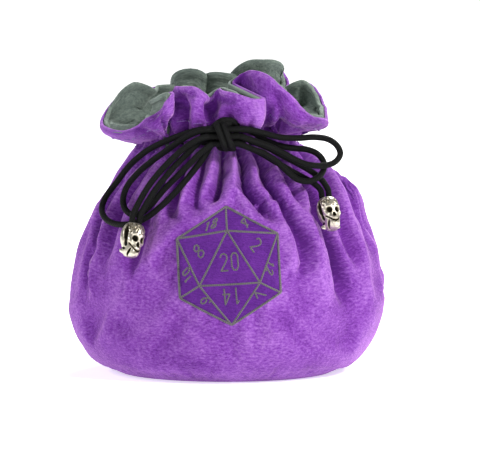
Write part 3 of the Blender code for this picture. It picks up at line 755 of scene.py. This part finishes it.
def cloth_shell(name, grid, thickness, rim, material):
    """A closed thin shell: floor, outside, rounded edge, inside and inner floor."""
    normals = unit(smoothed(grid_normals(grid), 2))
    lip = lip_rows(grid[-1], normals[-1], unit(grid[-1] - grid[-2]), rim)
    inner = (grid - normals * cloth_thickness(grid, thickness, rim)[..., None])[::-1]
    low = inner[-1].copy()
    low[:, 2] = grid[0, :, 2] + thickness
    kept = [row for k, row in enumerate(inner[:-1]) if k < COLLAR_ROWS or k % INNER_STEP == 0]
    outer_floor = floor_rows(grid[0], OUTER_FLOOR)
    rows = np.concatenate([outer_floor, grid, lip, np.stack(kept), floor_rows(low, INNER_FLOOR)])
    count, columns = rows.shape[:2]
    lengths = np.linalg.norm(np.diff(rows, axis=0), axis=2).mean(axis=1)
    along = np.append(0.0, np.cumsum(lengths)) * MM
    width = 2 * math.pi * UV_RADIUS * MM / columns
    uvs = [(column * width, along[row]) for four in grid_corners(count, columns) for row, column in four]
    uvs += [(0.0, 0.0)] * (6 * columns)
    points = np.vstack([rows.reshape(-1, 3), rows[0].mean(axis=0), rows[-1].mean(axis=0)])
    mesh = mesh_of(name, points, ring_faces(count, columns) + end_fans(count, columns), uvs)
    # Painted shade and highlight for the pile's colour, one value for each point; the rounded edge takes the
    # top row's painted highlight
    relief = np.zeros((count, columns))
    start, end = len(outer_floor), len(outer_floor) + len(grid)
    relief[start:end] = relief_of(grid, normals)
    relief[end:end + len(lip)] = relief[end - 1]
    add_values(mesh, "relief", np.append(relief, [0.0, 0.0]))
    return new_object(name, mesh, material)


def valley_floor(grid):
    """The grid drawn in towards the bag's axis as far as the deepest fold near each point."""
    centre = np.stack([lean_at(grid[..., 2]), 0 * grid[..., 2]], axis=2)
    away = grid[..., :2] - centre
    radius = np.linalg.norm(away, axis=2)
    shifts = range(-VALLEY_REACH, VALLEY_REACH + 1)
    lowest = smoothed(np.min([np.roll(radius, k, axis=1) for k in shifts], axis=0), 6)
    floor = grid.copy()
    floor[..., :2] = centre + away / radius[..., None] * np.minimum(lowest, radius)[..., None]
    return floor


def pushed_inside(points, grid, clear):
    """Moves each point that is less than its clear distance inside the grid's surface further in."""
    tree = surface_tree(grid)
    moved = points.reshape(-1, 3).copy()
    below_edge = moved[:-grid.shape[1]]
    for point, wanted in zip(below_edge, clear.ravel()):
        place, normal, _, _ = tree.find_nearest(Vector(point))
        short = wanted + (Vector(point) - place).dot(normal)
        if short > 0:
            point -= np.array(normal) * min(short, MOST_PUSH)
    return moved.reshape(points.shape)


def lining_grid(grid):
    """The lining's outside: just inside the plush, further in at the cord's channel."""
    normals = unit(smoothed(grid_normals(grid), 6))
    height = grid[..., 2]
    from_top = rows_from_top(grid)
    channel = smooth_step(2.0 - np.abs(height - NECK_HEIGHT) / 6.0) * smooth_step((from_top - 10) / 10)
    clear = cloth_thickness(grid, PLUSH_THICKNESS, PLUSH_RIM) + LINING_GAP
    low = smooth_step((NECK_HEIGHT - height) / 4)[..., None]
    calm = grid * (1 - low) + valley_floor(grid) * low
    inside = calm - normals * (clear + channel * CHANNEL_ROOM)[..., None]
    drop = smooth_step((-8 - grid[..., 1]) / 8) * (LINING_DROP + LINING_RISE) - LINING_RISE
    inside -= unit(grid[-1] - grid[-2]) * (drop * (1 - smooth_step(from_top / 4)))[..., None]
    hidden = BODY_LINING_ROOM * smooth_step((NECK_HEIGHT - 12 - height) / 10)
    for _ in range(2):
        inside = pushed_inside(inside, grid, clear + hidden)
    inside[0, :, 2] += LINING_LIFT
    return inside


# ---- cloth simulation


def relaxed(grid):
    """Lets the sewn cloth settle and buckle as a simulation, with its neck and base held."""
    coarse = grid[::SIM_STEP, ::SIM_STEP]
    mesh = bpy.data.meshes.new("cloth_sim")
    points = (coarse.reshape(-1, 3) * MM * SIM_SCALE).tolist()
    mesh.from_pydata(points, [], ring_faces(*coarse.shape[:2]))
    obj = bpy.data.objects.new("cloth_sim", mesh)
    scene = bpy.context.scene
    scene.collection.objects.link(obj)
    held = obj.vertex_groups.new(name="held")
    for index, hold in enumerate(hold_strength(coarse).ravel()):
        held.add([index], float(hold), "REPLACE")
    cloth = obj.modifiers.new("cloth", "CLOTH")
    for key, value in SIM_SETTINGS.items():
        setattr(cloth.settings, key, value)
    cloth.settings.effector_weights.gravity = SIM_GRAVITY
    cloth.collision_settings.use_collision = False
    cloth.point_cache.frame_start = 1
    cloth.point_cache.frame_end = SIM_FRAMES
    for step in range(1, SIM_FRAMES + 1):
        scene.frame_set(step)
    settled = obj.evaluated_get(bpy.context.evaluated_depsgraph_get()).to_mesh()
    found = np.empty(coarse.size, np.float32)
    settled.vertices.foreach_get("co", found)
    moved = found.reshape(coarse.shape) / (MM * SIM_SCALE) - coarse
    bpy.data.objects.remove(obj)
    scene.frame_set(1)
    return grid + limited(spread_to(grid.shape, moved), grid)


def hold_strength(grid):
    """1 where the cloth is held: base, emblem, and the drawn-in neck; little elsewhere."""
    height = grid[..., 2]
    neck = smooth_step((13 - np.abs(height - 116)) / 6)
    base = smooth_step((6 - height) / 4)
    emblem = (1 - emblem_calm(grid)) / CALM_SHARE
    loose = 0.02 + 0.10 * smooth_step((height - 126) / 6)
    return np.maximum.reduce([neck, base, emblem, loose])


def spread_to(shape, moved):
    """Coarse movements spread evenly to every row and column of the full grid."""
    values = np.concatenate([moved, moved[:, :1]], axis=1)
    for axis in (1, 0):
        last = values.shape[axis] - 1
        places = np.minimum(np.arange(shape[axis]) / SIM_STEP, last)
        low = np.minimum(places.astype(int), last - 1)
        share = np.expand_dims(places - low, 1 - axis)[..., None]
        values = values.take(low, axis) * (1 - share) + values.take(low + 1, axis) * share
    return values


def limited(moved, grid):
    """Movements kept within what leaves the bow's cords in front of the cloth."""
    normals = grid_normals(grid)
    outward = (moved * normals).sum(axis=2, keepdims=True)
    kept = MOST_OUTWARD * np.tanh(np.maximum(outward, 0) / MOST_OUTWARD)
    kept -= MOST_INWARD * np.tanh(np.maximum(-outward, 0) / MOST_INWARD)
    sideways = moved - normals * outward
    most = np.maximum(1e-6, np.linalg.norm(sideways, axis=2, keepdims=True))
    return sideways * (MOST_OUTWARD * np.tanh(most / MOST_OUTWARD) / most) + normals * kept


# ---- cords and knot


def tube_mesh(name, path, radius, sides=CORD_SIDES, closed=False):
    """A round tube along a path, with frames that don't twist and with rounded ends."""
    if closed:
        tangents = unit(np.roll(path, -1, axis=0) - np.roll(path, 1, axis=0))
    else:
        tangents = unit(np.gradient(path, axis=0))
    across = unit(np.cross(tangents[0], (0.3, 0.2, 0.9)))
    turn = np.linspace(0, 2 * math.pi, sides, endpoint=False)[:, None]
    rings = []
    for centre, tangent in zip(path, tangents):
        across = unit(across - tangent * (across @ tangent))
        ring = np.cos(turn) * across + np.sin(turn) * np.cross(tangent, across)
        rings.append(centre + ring * radius)
    if not closed:
        rings.insert(0, path[0] + (rings[0] - path[0]) * 0.6 - tangents[0] * radius * 0.25)
        rings.append(path[-1] + (rings[-1] - path[-1]) * 0.6 + tangents[-1] * radius * 0.25)
    step = lengths_along(path)[-1] / (len(path) - 1) / (2 * radius)
    faces = ring_faces(len(rings), sides)
    uvs = [(column / sides, row * step) for four in grid_corners(len(rings), sides) for row, column in four]
    last = (len(rings) - 1) * sides
    if closed:
        for column in range(sides):
            after = (column + 1) % sides
            faces.append((last + column, last + after, after, column))
            uvs += [(column / sides, 0), ((column + 1) / sides, 0)] * 2
    else:
        faces += [tuple(range(sides))[::-1], tuple(range(last, last + sides))]
        uvs += [(0.5, 0.5)] * (2 * sides)
    return mesh_of(name, np.vstack(rings), faces, uvs)


def bead_axis(side):
    """The bead's up and sideways directions."""
    axis = (BEAD_TOPS[side] - BEAD_CENTRES[side]).normalized()
    sideways = axis.cross(Vector((0.0, 1.0, 0.0))).normalized()
    return axis, sideways if sideways.x > 0 else -sideways


def tail_route(name):
    """A tail's points from the knot down to the bead, then straight into it."""
    side = name.split("_")[0]
    axis, sideways = bead_axis(side)
    outer = (side == "right") == name.endswith("a")
    start = BEAD_CENTRES[side] + sideways * (TAIL_OFFSET if outer else -TAIL_OFFSET)
    straight = [start + axis * along for along in (*TAIL_STRAIGHT, TAIL_END)]
    return [Vector(point) for point in TAIL_ROUTES[name]] + straight


def add_free_cord(name, route, body, material):
    path = curve_through(route, CORD_STEP)
    obj = new_object(name + "_visual", tube_mesh(name, path, CORD_RADIUS), material)
    stand_for(obj, [name], body)


def add_cords(material):
    for name, route in LOOP_ROUTES.items():
        add_free_cord(name, route, name.split("_")[0] + "_loops", material)
    for name in TAIL_ROUTES:
        side = name.split("_")[0]
        add_free_cord(name, tail_route(name), side + "_tail", material)


def squared_off(value):
    """A sine or cosine made larger, which bulges a circle towards a square."""
    return math.copysign(abs(value) ** 0.8, value)


def wrap_path(offset):
    """One turn of cord round the bundle, leaning so that it runs down to the right in front."""
    points = []
    for turn in np.linspace(0, 2 * math.pi, 16, endpoint=False):
        across = squared_off(math.cos(turn))
        height = WRAP_HALF_HEIGHT * squared_off(math.sin(turn))
        x = offset - WRAP_LEAN * height * (1 if across < 0 else -0.4)
        points.append((x, KNOT_CENTRE.y + WRAP_HALF_DEPTH * across, KNOT_CENTRE.z + height))
    return curve_through(points, CORD_STEP, closed=True)


def add_knot(material):
    """The bow's crossing: the strands that pass through it, two wraps, and an arc on top."""
    paths = [
        curve_through([(-STRAND_REACH, y, z), (0.0, y + 0.2, z - 0.1), (STRAND_REACH, y, z)], CORD_STEP)
        for y, z in STRANDS_IN_KNOT
    ]
    meshes = [tube_mesh("strand", path, CORD_RADIUS) for path in paths]
    meshes += [tube_mesh("wrap", wrap_path(x), CORD_RADIUS, closed=True) for x in WRAP_OFFSETS]
    meshes.append(tube_mesh("arc", curve_through(KNOT_ARC, CORD_STEP), CORD_RADIUS))
    knot = join("bow_knot_visual", [new_object(mesh.name, mesh, material) for mesh in meshes])
    stand_for(knot, ["bow_knot"], "bag")


def add_channel_stitches(grid, material):
    """The two rows of running stitches that close the cord's channel, lying on the plush."""
    normals = smoothed(grid_normals(grid), 2)
    for level, height in CHANNEL_STITCHES.items():
        row = int(np.argmin(abs(grid[..., 2].mean(axis=1) - height)))
        ring = grid[row] + normals[row] * STITCH_OUTSET
        pieces = []
        for first in range(0, CLOTH_COLUMNS - STITCH_COLUMNS, STITCH_COLUMNS + 1):
            path = curve_through(ring[first:first + STITCH_COLUMNS], 0.7)
            pieces.append(new_object("stitch", tube_mesh("stitch", path, STITCH_RADIUS, 6), material))
        name = "channel_stitch_" + level
        stand_for(join(name + "_visual", pieces), [name], "bag")


# ---- skull beads


def skull_surface(degrees, height):
    """The plain skull's x and y at these degrees round from the face."""
    half_width, front, back = read_table(SKULL_OUTLINE, height)
    angle = np.radians(degrees)
    facing = np.cos(angle)
    return half_width * np.sin(angle), np.where(facing > 0, front * facing, -back * facing)


def mark_share(degrees, height, mark):
    """How strongly one mark acts at each point, from 0 to 1, on both sides of the face."""
    centre, level, half_width, half_height, tilt, _ = mark
    share = np.zeros_like(height)
    for sign in (-1, 1):
        across = (degrees - sign * centre) * math.radians(1) * MARK_RADIUS
        up = height - level
        turn = math.radians(tilt) * sign
        u = (across * math.cos(turn) + up * math.sin(turn)) / half_width
        v = (-across * math.sin(turn) + up * math.cos(turn)) / half_height
        share = np.maximum(share, smooth_step(1.5 - np.sqrt(u**2 + v**2)))
    return share


def grin_share(degrees, height):
    """How strongly the mouth's line acts at each point."""
    (level,) = read_table(SKULL_GRIN, degrees)
    inside = smooth_step((60 - np.abs(degrees)) / 8)
    return inside * np.exp(-(((height - level) / GRIN_HALF_HEIGHT) ** 2))


def engraving(degrees, height):
    """Small dents over the top of the skull."""
    chance = random.Random(DENT_SEED)
    total = np.zeros_like(height)
    for _ in range(ENGRAVED_DENTS):
        centre = chance.uniform(-180, 180)
        level = chance.uniform(2.9, 7.6)
        size = chance.uniform(0.35, 0.65)
        apart = (degrees - centre + 180) % 360 - 180
        across = apart * math.radians(1) * DENT_RADIUS
        total = np.maximum(total, np.exp(-((across**2 + (height - level) ** 2) / size**2)))
    return total


def tooth_share(degrees, height):
    """The gaps between the teeth, in a band above the jaw."""
    band = np.exp(-(((height + 4.9 + 0.0009 * degrees**2) / 1.2) ** 2))
    band *= smooth_step((34 - np.abs(degrees)) / 6)
    return band * (0.5 + 0.5 * np.cos(np.radians(degrees) * TEETH_ROUND))


def skull_mesh(name):
    """The skull as rings of points, each moved in by the marks on it."""
    turns = np.linspace(0, math.pi, SKULL_ROWS + 2)[1:-1]
    around = np.linspace(-180, 180, SKULL_COLUMNS, endpoint=False)
    degrees, heights = np.meshgrid(around, -SKULL_HALF_HEIGHT * np.cos(turns))
    x, y = skull_surface(degrees, heights)
    inward = sum(mark[5] * mark_share(degrees, heights, mark) for mark in SKULL_MARKS)
    inward += GRIN_DEPTH * grin_share(degrees, heights)
    inward += DENT_DEPTH * engraving(degrees, heights)
    inward += TOOTH_DEPTH * tooth_share(degrees, heights)
    away = np.sqrt(x**2 + y**2)
    shrink = np.maximum(0.3, (away - inward) / np.maximum(away, 0.1))
    points = np.stack([x * shrink, y * shrink, heights], axis=2).reshape(-1, 3)
    pole = SKULL_HALF_HEIGHT + 0.05
    points = np.vstack([points, [(0, 0, -pole), (0, 0, pole)]])
    faces = ring_faces(SKULL_ROWS, SKULL_COLUMNS) + end_fans(SKULL_ROWS, SKULL_COLUMNS)
    mesh = mesh_of(name, points, faces)
    add_values(mesh, "recess", np.append(np.maximum(inward, 0), [0.0, 0.0]))
    return mesh


def add_skull(side, material):
    name = side + "_skull_bead"
    obj = new_object(name + "_visual", skull_mesh(name), material)
    up, _ = bead_axis(side)
    facing = (BEAD_FACING[side] - up * BEAD_FACING[side].dot(up)).normalized()
    turn = Matrix((up.cross(facing), -facing, up)).transposed()
    obj.matrix_world = Matrix.Translation(BEAD_CENTRES[side] * MM) @ turn.to_4x4()
    stand_for(obj, [name], side + "_bead")


# ---- embroidery


def turned(x, y, degrees):
    """A point turned anticlockwise about the origin."""
    turn = math.radians(degrees)
    return np.array((x * math.cos(turn) - y * math.sin(turn), x * math.sin(turn) + y * math.cos(turn)))


def on_front(surface, place, outset):
    """The point over a place in the die's own plane, this far off the plush's front."""
    x, height = DIE_CENTRE + turned(*place, DIE_TURN)
    point, normal, _, _ = surface.ray_cast(Vector((x, -200.0, height)), Vector((0.0, 1.0, 0.0)))
    return np.array(point + (-normal if normal.y > 0 else normal) * outset)


def die_corners(radius):
    return [turned(0, radius, -60 * k) for k in range(6)]


def die_lines():
    """The start and end of each line of the die, seen face on."""
    outer = die_corners(DIE_RADIUS)
    inner = die_corners(DIE_RADIUS * DIE_INNER_SHARE)[::2]
    lines = [(outer[k], outer[(k + 1) % 6]) for k in range(6)]
    lines += [(inner[k], inner[(k + 1) % 3]) for k in range(3)]
    lines += [(inner[k], outer[(2 * k + step) % 6]) for k in range(3) for step in (-1, 0, 1)]
    return lines


def numeral_strokes():
    """The numerals' strokes in the die's plane."""
    strokes = []
    for text, x, y, height, degrees, widen, slant in DIE_NUMERALS:
        advance = NUMERAL_ADVANCE * height * widen
        for place, sign in enumerate(text):
            left = (place - len(text) / 2) * advance + NUMERAL_MARGIN * height * widen
            points = []
            for u, v in STROKES[sign]:
                up = (v - 0.5) * height
                across = left + u * height * widen + slant * up
                points.append(np.array((x, y)) + turned(across, up, degrees))
            strokes.append(points)
    return strokes


def satin_ribbon(surface, stroke, width):
    """Rows of a raised, rounded ribbon of thread along a stroke, each row once round it."""
    even = [stroke[0]]
    for start, end in zip(stroke, stroke[1:]):
        count = max(1, round(np.linalg.norm(end - start) / STITCH_STEP))
        even += [start + (end - start) * k / count for k in range(1, count + 1)]
    tangents = unit(np.gradient(np.array(even), axis=0))
    rows = []
    for k, (centre, (along_x, along_y)) in enumerate(zip(even, tangents)):
        thread = THREAD_STEP * (k % 2)
        across = np.array((-along_y, along_x)) * (width + thread)
        lift = thread - THREAD_STEP
        rows.append([
            on_front(surface, centre + across * share, rise * THREAD_RISE + lift)
            for share, rise in THREAD_PROFILE
        ])
    return np.array(rows)


def add_stitching(name, surface, strokes, width, material, nodes=()):
    """Every stroke as a ribbon of thread, all in one piece."""
    points, faces, uvs = [], [], []
    sides = len(THREAD_PROFILE)
    for stroke in strokes:
        rows = satin_ribbon(surface, stroke, width)
        first = len(points)
        last = first + (len(rows) - 1) * sides
        points.extend(rows.reshape(-1, 3))
        for row, side in itertools.product(range(len(rows) - 1), range(sides)):
            corners = ((row, side), (row + 1, side), (row + 1, side + 1), (row, side + 1))
            if side == sides - 1:
                # The flat underside, from the ribbon's one edge to the other
                corners = ((row, 0), (row, side), (row + 1, side), (row + 1, 0))
            faces.append(tuple(first + place * sides + column for place, column in corners))
            uvs += [(column / (sides - 1), place) for place, column in corners]
        faces += [tuple(range(first, first + sides)), tuple(range(last, last + sides))[::-1]]
        uvs += [(0.5, 0.0)] * (2 * sides)
    obj = new_object(name, mesh_of(name, points, faces, uvs), material)
    stand_for(obj, nodes, "bag")


def field_index(ring, place):
    """Which point of the die's field is at this place round this ring. Ring 0 is its middle."""
    return 1 + 3 * ring * (ring - 1) + place % (6 * ring) if ring else 0


def add_die_field(surface, material):
    """The knocked-down field inside the die, as a thin raised patch on the plush."""
    flat = [np.zeros(2)]
    faces = []
    for ring in range(1, FIELD_RINGS + 1):
        corners = die_corners(DIE_RADIUS * ring / FIELD_RINGS)
        for place in range(6 * ring):
            k, step = divmod(place, ring)
            flat.append(corners[k] + (corners[(k + 1) % 6] - corners[k]) * step / ring)
            within = k * (ring - 1) + step
            inner, after = field_index(ring - 1, within), field_index(ring, place + 1)
            faces.append((field_index(ring, place), inner, after))
            if step < ring - 1:
                faces.append((inner, field_index(ring - 1, within + 1), after))
    rim = field_index(FIELD_RINGS, 0)
    points = [
        on_front(surface, place, FIELD_LIFT if index < rim else -FIELD_SINK)
        for index, place in enumerate(flat)
    ]
    uvs = [flat[corner] * MM for face in faces for corner in face]
    obj = new_object("emblem_ground_visual", mesh_of("emblem_field", points, faces, uvs), material)
    solid = obj.modifiers.new("thread", "SOLIDIFY")
    solid.thickness = FIELD_THICKNESS * MM
    solid.offset = -1
    stand_for(obj, ["emblem_ground"], "bag")


# ---- materials


class Look:
    """A material, with short ways to make and wire its nodes."""

    def __init__(self, name):
        self.material = bpy.data.materials.new(name)
        self.material.use_nodes = True
        self.tree = self.material.node_tree
        self.shader = self.tree.nodes["Principled BSDF"]
        self.place = self.node("TexCoord").outputs

    def wire(self, made, inputs):
        """Links each input to another node's output, or sets it to a plain value."""
        for key, value in inputs.items():
            if isinstance(value, bpy.types.NodeSocket):
                self.tree.links.new(value, made.inputs[key])
            else:
                made.inputs[key].default_value = value

    def node(self, kind, inputs=None, **settings):
        made = self.tree.nodes.new("ShaderNode" + kind)
        for key, value in settings.items():
            setattr(made, key, value)
        self.wire(made, inputs or {})
        return made

    def math(self, operation, first, second=0.0):
        return self.node("Math", {0: first, 1: second}, operation=operation).outputs["Value"]

    def blend(self, *parts):
        """The sum of (share, value) parts."""
        scaled = [value if share == 1 else self.math("MULTIPLY", value, share) for share, value in parts]
        return functools.reduce(functools.partial(self.math, "ADD"), scaled)

    def spread(self, value, taken, given, **settings):
        """The value mapped from one range to another."""
        limits = {"From Min": taken[0], "From Max": taken[1], "To Min": given[0], "To Max": given[1]}
        return self.node("MapRange", {"Value": value, **limits}, **settings).outputs["Result"]

    def noise(self, space, scale, detail=3.0, roughness=0.6, stretch=None):
        """Noise in object or UV space, in metres, optionally stretched."""
        where = self.place[space]
        if stretch:
            where = self.node("Mapping", {"Scale": stretch, "Vector": where}).outputs["Vector"]
        inputs = {"Scale": scale, "Detail": detail, "Roughness": roughness, "Vector": where}
        return self.node("TexNoise", inputs).outputs["Fac"]

    def ramp(self, factor, stops):
        ramp = self.node("ValToRGB", {"Fac": factor})
        while len(ramp.color_ramp.elements) < len(stops):
            ramp.color_ramp.elements.new(0.5)
        for element, (place, colour) in zip(ramp.color_ramp.elements, stops):
            element.position = place
            element.color = (*colour, 1.0)
        return ramp.outputs["Color"]

    def bumped(self, height, distance, strength=1.0):
        inputs = {"Strength": strength, "Distance": distance * MM, "Height": height}
        return self.node("Bump", inputs).outputs["Normal"]

    def point_values(self, name):
        return self.node("Attribute", attribute_name=name).outputs["Fac"]

    def uv_axis(self, axis):
        return self.node("SeparateXYZ", {"Vector": self.place["UV"]}).outputs[axis]

    def dressed(self, inputs):
        """The finished material, with these inputs of its shader."""
        self.wire(self.shader, inputs)
        return self.material


def plush_material(name, stops, sheen_colour, sheen):
    """Short pile: crushed patches, streaks along the cloth, fine nap, a soft sheen, and shade painted darker
    in the valleys and lighter on the ridges and sewn edge.
    """
    look = Look(name)
    patches = look.noise("Object", 40.0, 4.0)
    streaks = look.noise("Object", 260.0, 2.0)
    nap = look.noise("UV", 900.0, 2.0, 0.75, (0.6, 1.0, 1.0))
    # Painted shade and highlight: the colour darker in the cloth's valleys and over the collar, lighter on
    # the ridges and at the sewn edge
    painted_shade = look.spread(look.point_values("relief"), SHADED_RELIEF_RANGE, PAINTED_SHADE_RANGE)
    shade = look.blend((0.38, patches), (0.12, streaks), (0.50, nap), (1, painted_shade))
    return look.dressed({
        "Base Color": look.ramp(shade, stops),
        "Roughness": 0.85,
        "Specular IOR Level": 0.15,
        "Sheen Weight": sheen,
        "Sheen Roughness": 0.45,
        "Sheen Tint": sheen_colour,
        "Normal": look.bumped(look.blend((0.6, nap), (0.25, streaks)), 0.9),
    })


def cord_material():
    """Round black braid: two sets of strands that cross, from the tube's own UVs."""
    look = Look("black_braid")
    around = look.math("MULTIPLY", look.uv_axis("X"), 2 * math.pi * 8)
    along = look.math("MULTIPLY", look.uv_axis("Y"), 2 * math.pi * 2.2)
    rise, fall = (look.math("SINE", look.math(way, around, along)) for way in ("ADD", "SUBTRACT"))
    braid = look.math("MAXIMUM", rise, fall)
    fibres = look.noise("Object", 2600.0, 2.0, 0.7)
    stops = ((0.2, (0.001, 0.001, 0.001)), (0.75, (0.003, 0.0033, 0.0033)), (1.0, (0.008, 0.009, 0.008)))
    return look.dressed({
        "Base Color": look.ramp(look.blend((0.3, braid), (1, fibres)), stops),
        "Roughness": 0.55,
        "Specular IOR Level": 0.12,
        "Sheen Weight": 0.012,
        "Sheen Tint": (0.5, 0.55, 0.5, 1.0),
        "Normal": look.bumped(look.blend((1, braid), (1, fibres)), 0.12),
    })


def thread_material(name, dark, light):
    """Satin stitching: fine ridges across each ribbon."""
    look = Look(name)
    ridges = look.math("SINE", look.math("MULTIPLY", look.uv_axis("Y"), math.pi))
    share = look.blend((0.12, ridges), (1, look.noise("Object", 1900.0, 3.0, 0.7)))
    return look.dressed({
        "Base Color": look.ramp(share, ((0.25, dark), (0.7, light))),
        "Roughness": 0.45,
        "Sheen Weight": 0.3,
        "Normal": look.bumped(share, 0.15),
    })


def field_material():
    """The flattened plush inside the die, held by rows of fine purple thread."""
    look = Look("die_field")
    rows = look.math("SINE", look.math("MULTIPLY", look.uv_axis("Y"), 7500.0))
    nap = look.noise("Object", 900.0, 4.0, 0.75)
    share = look.blend((0.6, nap), (0.4, look.noise("Object", 120.0, 2.0)))
    return look.dressed({
        "Base Color": look.ramp(share, ((0.3, (0.06, 0.008, 0.15)), (0.7, (0.14, 0.028, 0.29)))),
        "Roughness": 0.8,
        "Specular IOR Level": 0.1,
        "Sheen Weight": 0.1,
        "Sheen Tint": (0.6, 0.3, 0.9, 1.0),
        "Normal": look.bumped(look.blend((1, nap), (0.25, rows)), 0.5),
    })


def silver_material():
    """Antique silver: bright where it stands out, black in the recesses."""
    look = Look("antique_silver")
    grime = look.noise("Object", 700.0, 4.0, 0.7)
    wear = look.blend((1, look.point_values("recess")), (0.45, grime))
    stops = ((0.18, (0.72, 0.67, 0.56)), (0.36, (0.34, 0.30, 0.22)), (0.7, (0.025, 0.02, 0.012)))
    return look.dressed({
        "Base Color": look.ramp(wear, stops),
        "Roughness": look.ramp(wear, ((0.2, (0.28,) * 3), (0.9, (0.75,) * 3))),
        "Metallic": 0.9,
        "Normal": look.bumped(grime, 0.1, 0.6),
    })


def floor_material():
    """Pale, and glowing a little more far away, where the lights don't reach."""
    look = Look("floor")
    away = look.node("VectorMath", {0: look.place["Object"]}, operation="LENGTH").outputs["Value"]
    return look.dressed({
        "Base Color": (0.93, 0.93, 0.93, 1.0),
        "Roughness": 0.9,
        "Emission Color": (1.0, 1.0, 1.0, 1.0),
        "Emission Strength": look.spread(
            away, GLOW_DISTANCES, FLOOR_GLOWS, interpolation_type="SMOOTHSTEP"
        ),
    })


# ---- camera, lights and floor


def add_aimed(name, data, place, direction):
    """A camera or light at a place, facing this way."""
    obj = bpy.data.objects.new(name, data)
    bpy.context.scene.collection.objects.link(obj)
    obj.location = place
    obj.rotation_euler = direction.to_track_quat("-Z", "Y").to_euler()
    return obj


def add_camera():
    data = bpy.data.cameras.new("camera")
    data.lens = CAMERA_LENS
    data.sensor_width = CAMERA_SENSOR
    distance = VIEW_WIDTH * CAMERA_LENS / CAMERA_SENSOR
    back = Vector((0.0, -math.cos(CAMERA_ELEVATION), math.sin(CAMERA_ELEVATION)))
    bpy.context.scene.camera = add_aimed("camera", data, CAMERA_TARGET + back * distance, -back)


def add_studio():
    world = bpy.data.worlds.new("studio")
    bpy.context.scene.world = world
    world.use_nodes = True
    background = world.node_tree.nodes["Background"]
    background.inputs["Color"].default_value = (1.0, 1.0, 1.0, 1.0)
    background.inputs["Strength"].default_value = WORLD_STRENGTH
    for name, place, size, power, colour in LIGHTS:
        data = bpy.data.lights.new(name, "AREA")
        data.size = size
        data.energy = power
        data.color = colour
        add_aimed(name, data, place, LIGHT_AIM - Vector(place))
    corners = [(x * FLOOR_REACH, y * FLOOR_REACH, 0.0) for x, y in ((-1, -1), (1, -1), (1, 1), (-1, 1))]
    mesh = bpy.data.meshes.new("floor")
    mesh.from_pydata(corners, [], [(0, 1, 2, 3)])
    floor = new_object("floor", mesh, floor_material())
    floor.location.z = -FLOOR_DROP


# ---- the whole scene


def repaint(node_name, material):
    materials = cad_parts[node_name].data.materials
    for index in range(len(materials)):
        materials[index] = material


def add_cloth(thread):
    """The plush and lining shells and the channel's stitches. It returns the plush's surface."""
    outside = plush_grid()
    add_channel_stitches(outside, thread)
    plush = plush_material("purple_plush", PLUSH_STOPS, PLUSH_SHEEN, 0.6)
    shell = cloth_shell("plush_shell", outside, PLUSH_THICKNESS, PLUSH_RIM, plush)
    stand_for(shell, ["outer_front_panel", "outer_back_panel", "outer_base_panel"], "bag")
    green = plush_material("green_grey_lining", LINING_STOPS, LINING_SHEEN, 0.35)
    lining = cloth_shell("lining_shell", lining_grid(outside), LINING_THICKNESS, LINING_RIM, green)
    stand_for(lining, ["lining_front_panel", "lining_back_panel", "lining_base_panel"], "bag")
    return surface_tree(outside)


def add_embroidery(surface):
    thread = thread_material("grey_thread", (0.028, 0.025, 0.029), (0.105, 0.092, 0.104))
    add_die_field(surface, field_material())
    add_stitching("emblem_lines_visual", surface, die_lines(), DIE_LINE_WIDTH, thread, ["emblem_lines"])
    add_stitching("emblem_numerals", surface, numeral_strokes(), NUMERAL_WIDTH, thread)


add_camera()
cord = cord_material()
add_cords(cord)
add_knot(cord)
purple_thread = thread_material("purple_thread", (0.08, 0.015, 0.18), (0.2, 0.05, 0.4))
add_embroidery(add_cloth(purple_thread))
silver = silver_material()
for side in ("left", "right"):
    add_skull(side, silver)
    repaint(side + "_stopper_knot", cord)
    repaint("buttonhole_" + side, purple_thread)
for name in ("drawcord_a", "drawcord_b"):
    repaint(name, cord)
add_studio()
bpy.context.scene.view_settings.view_transform = "Standard"
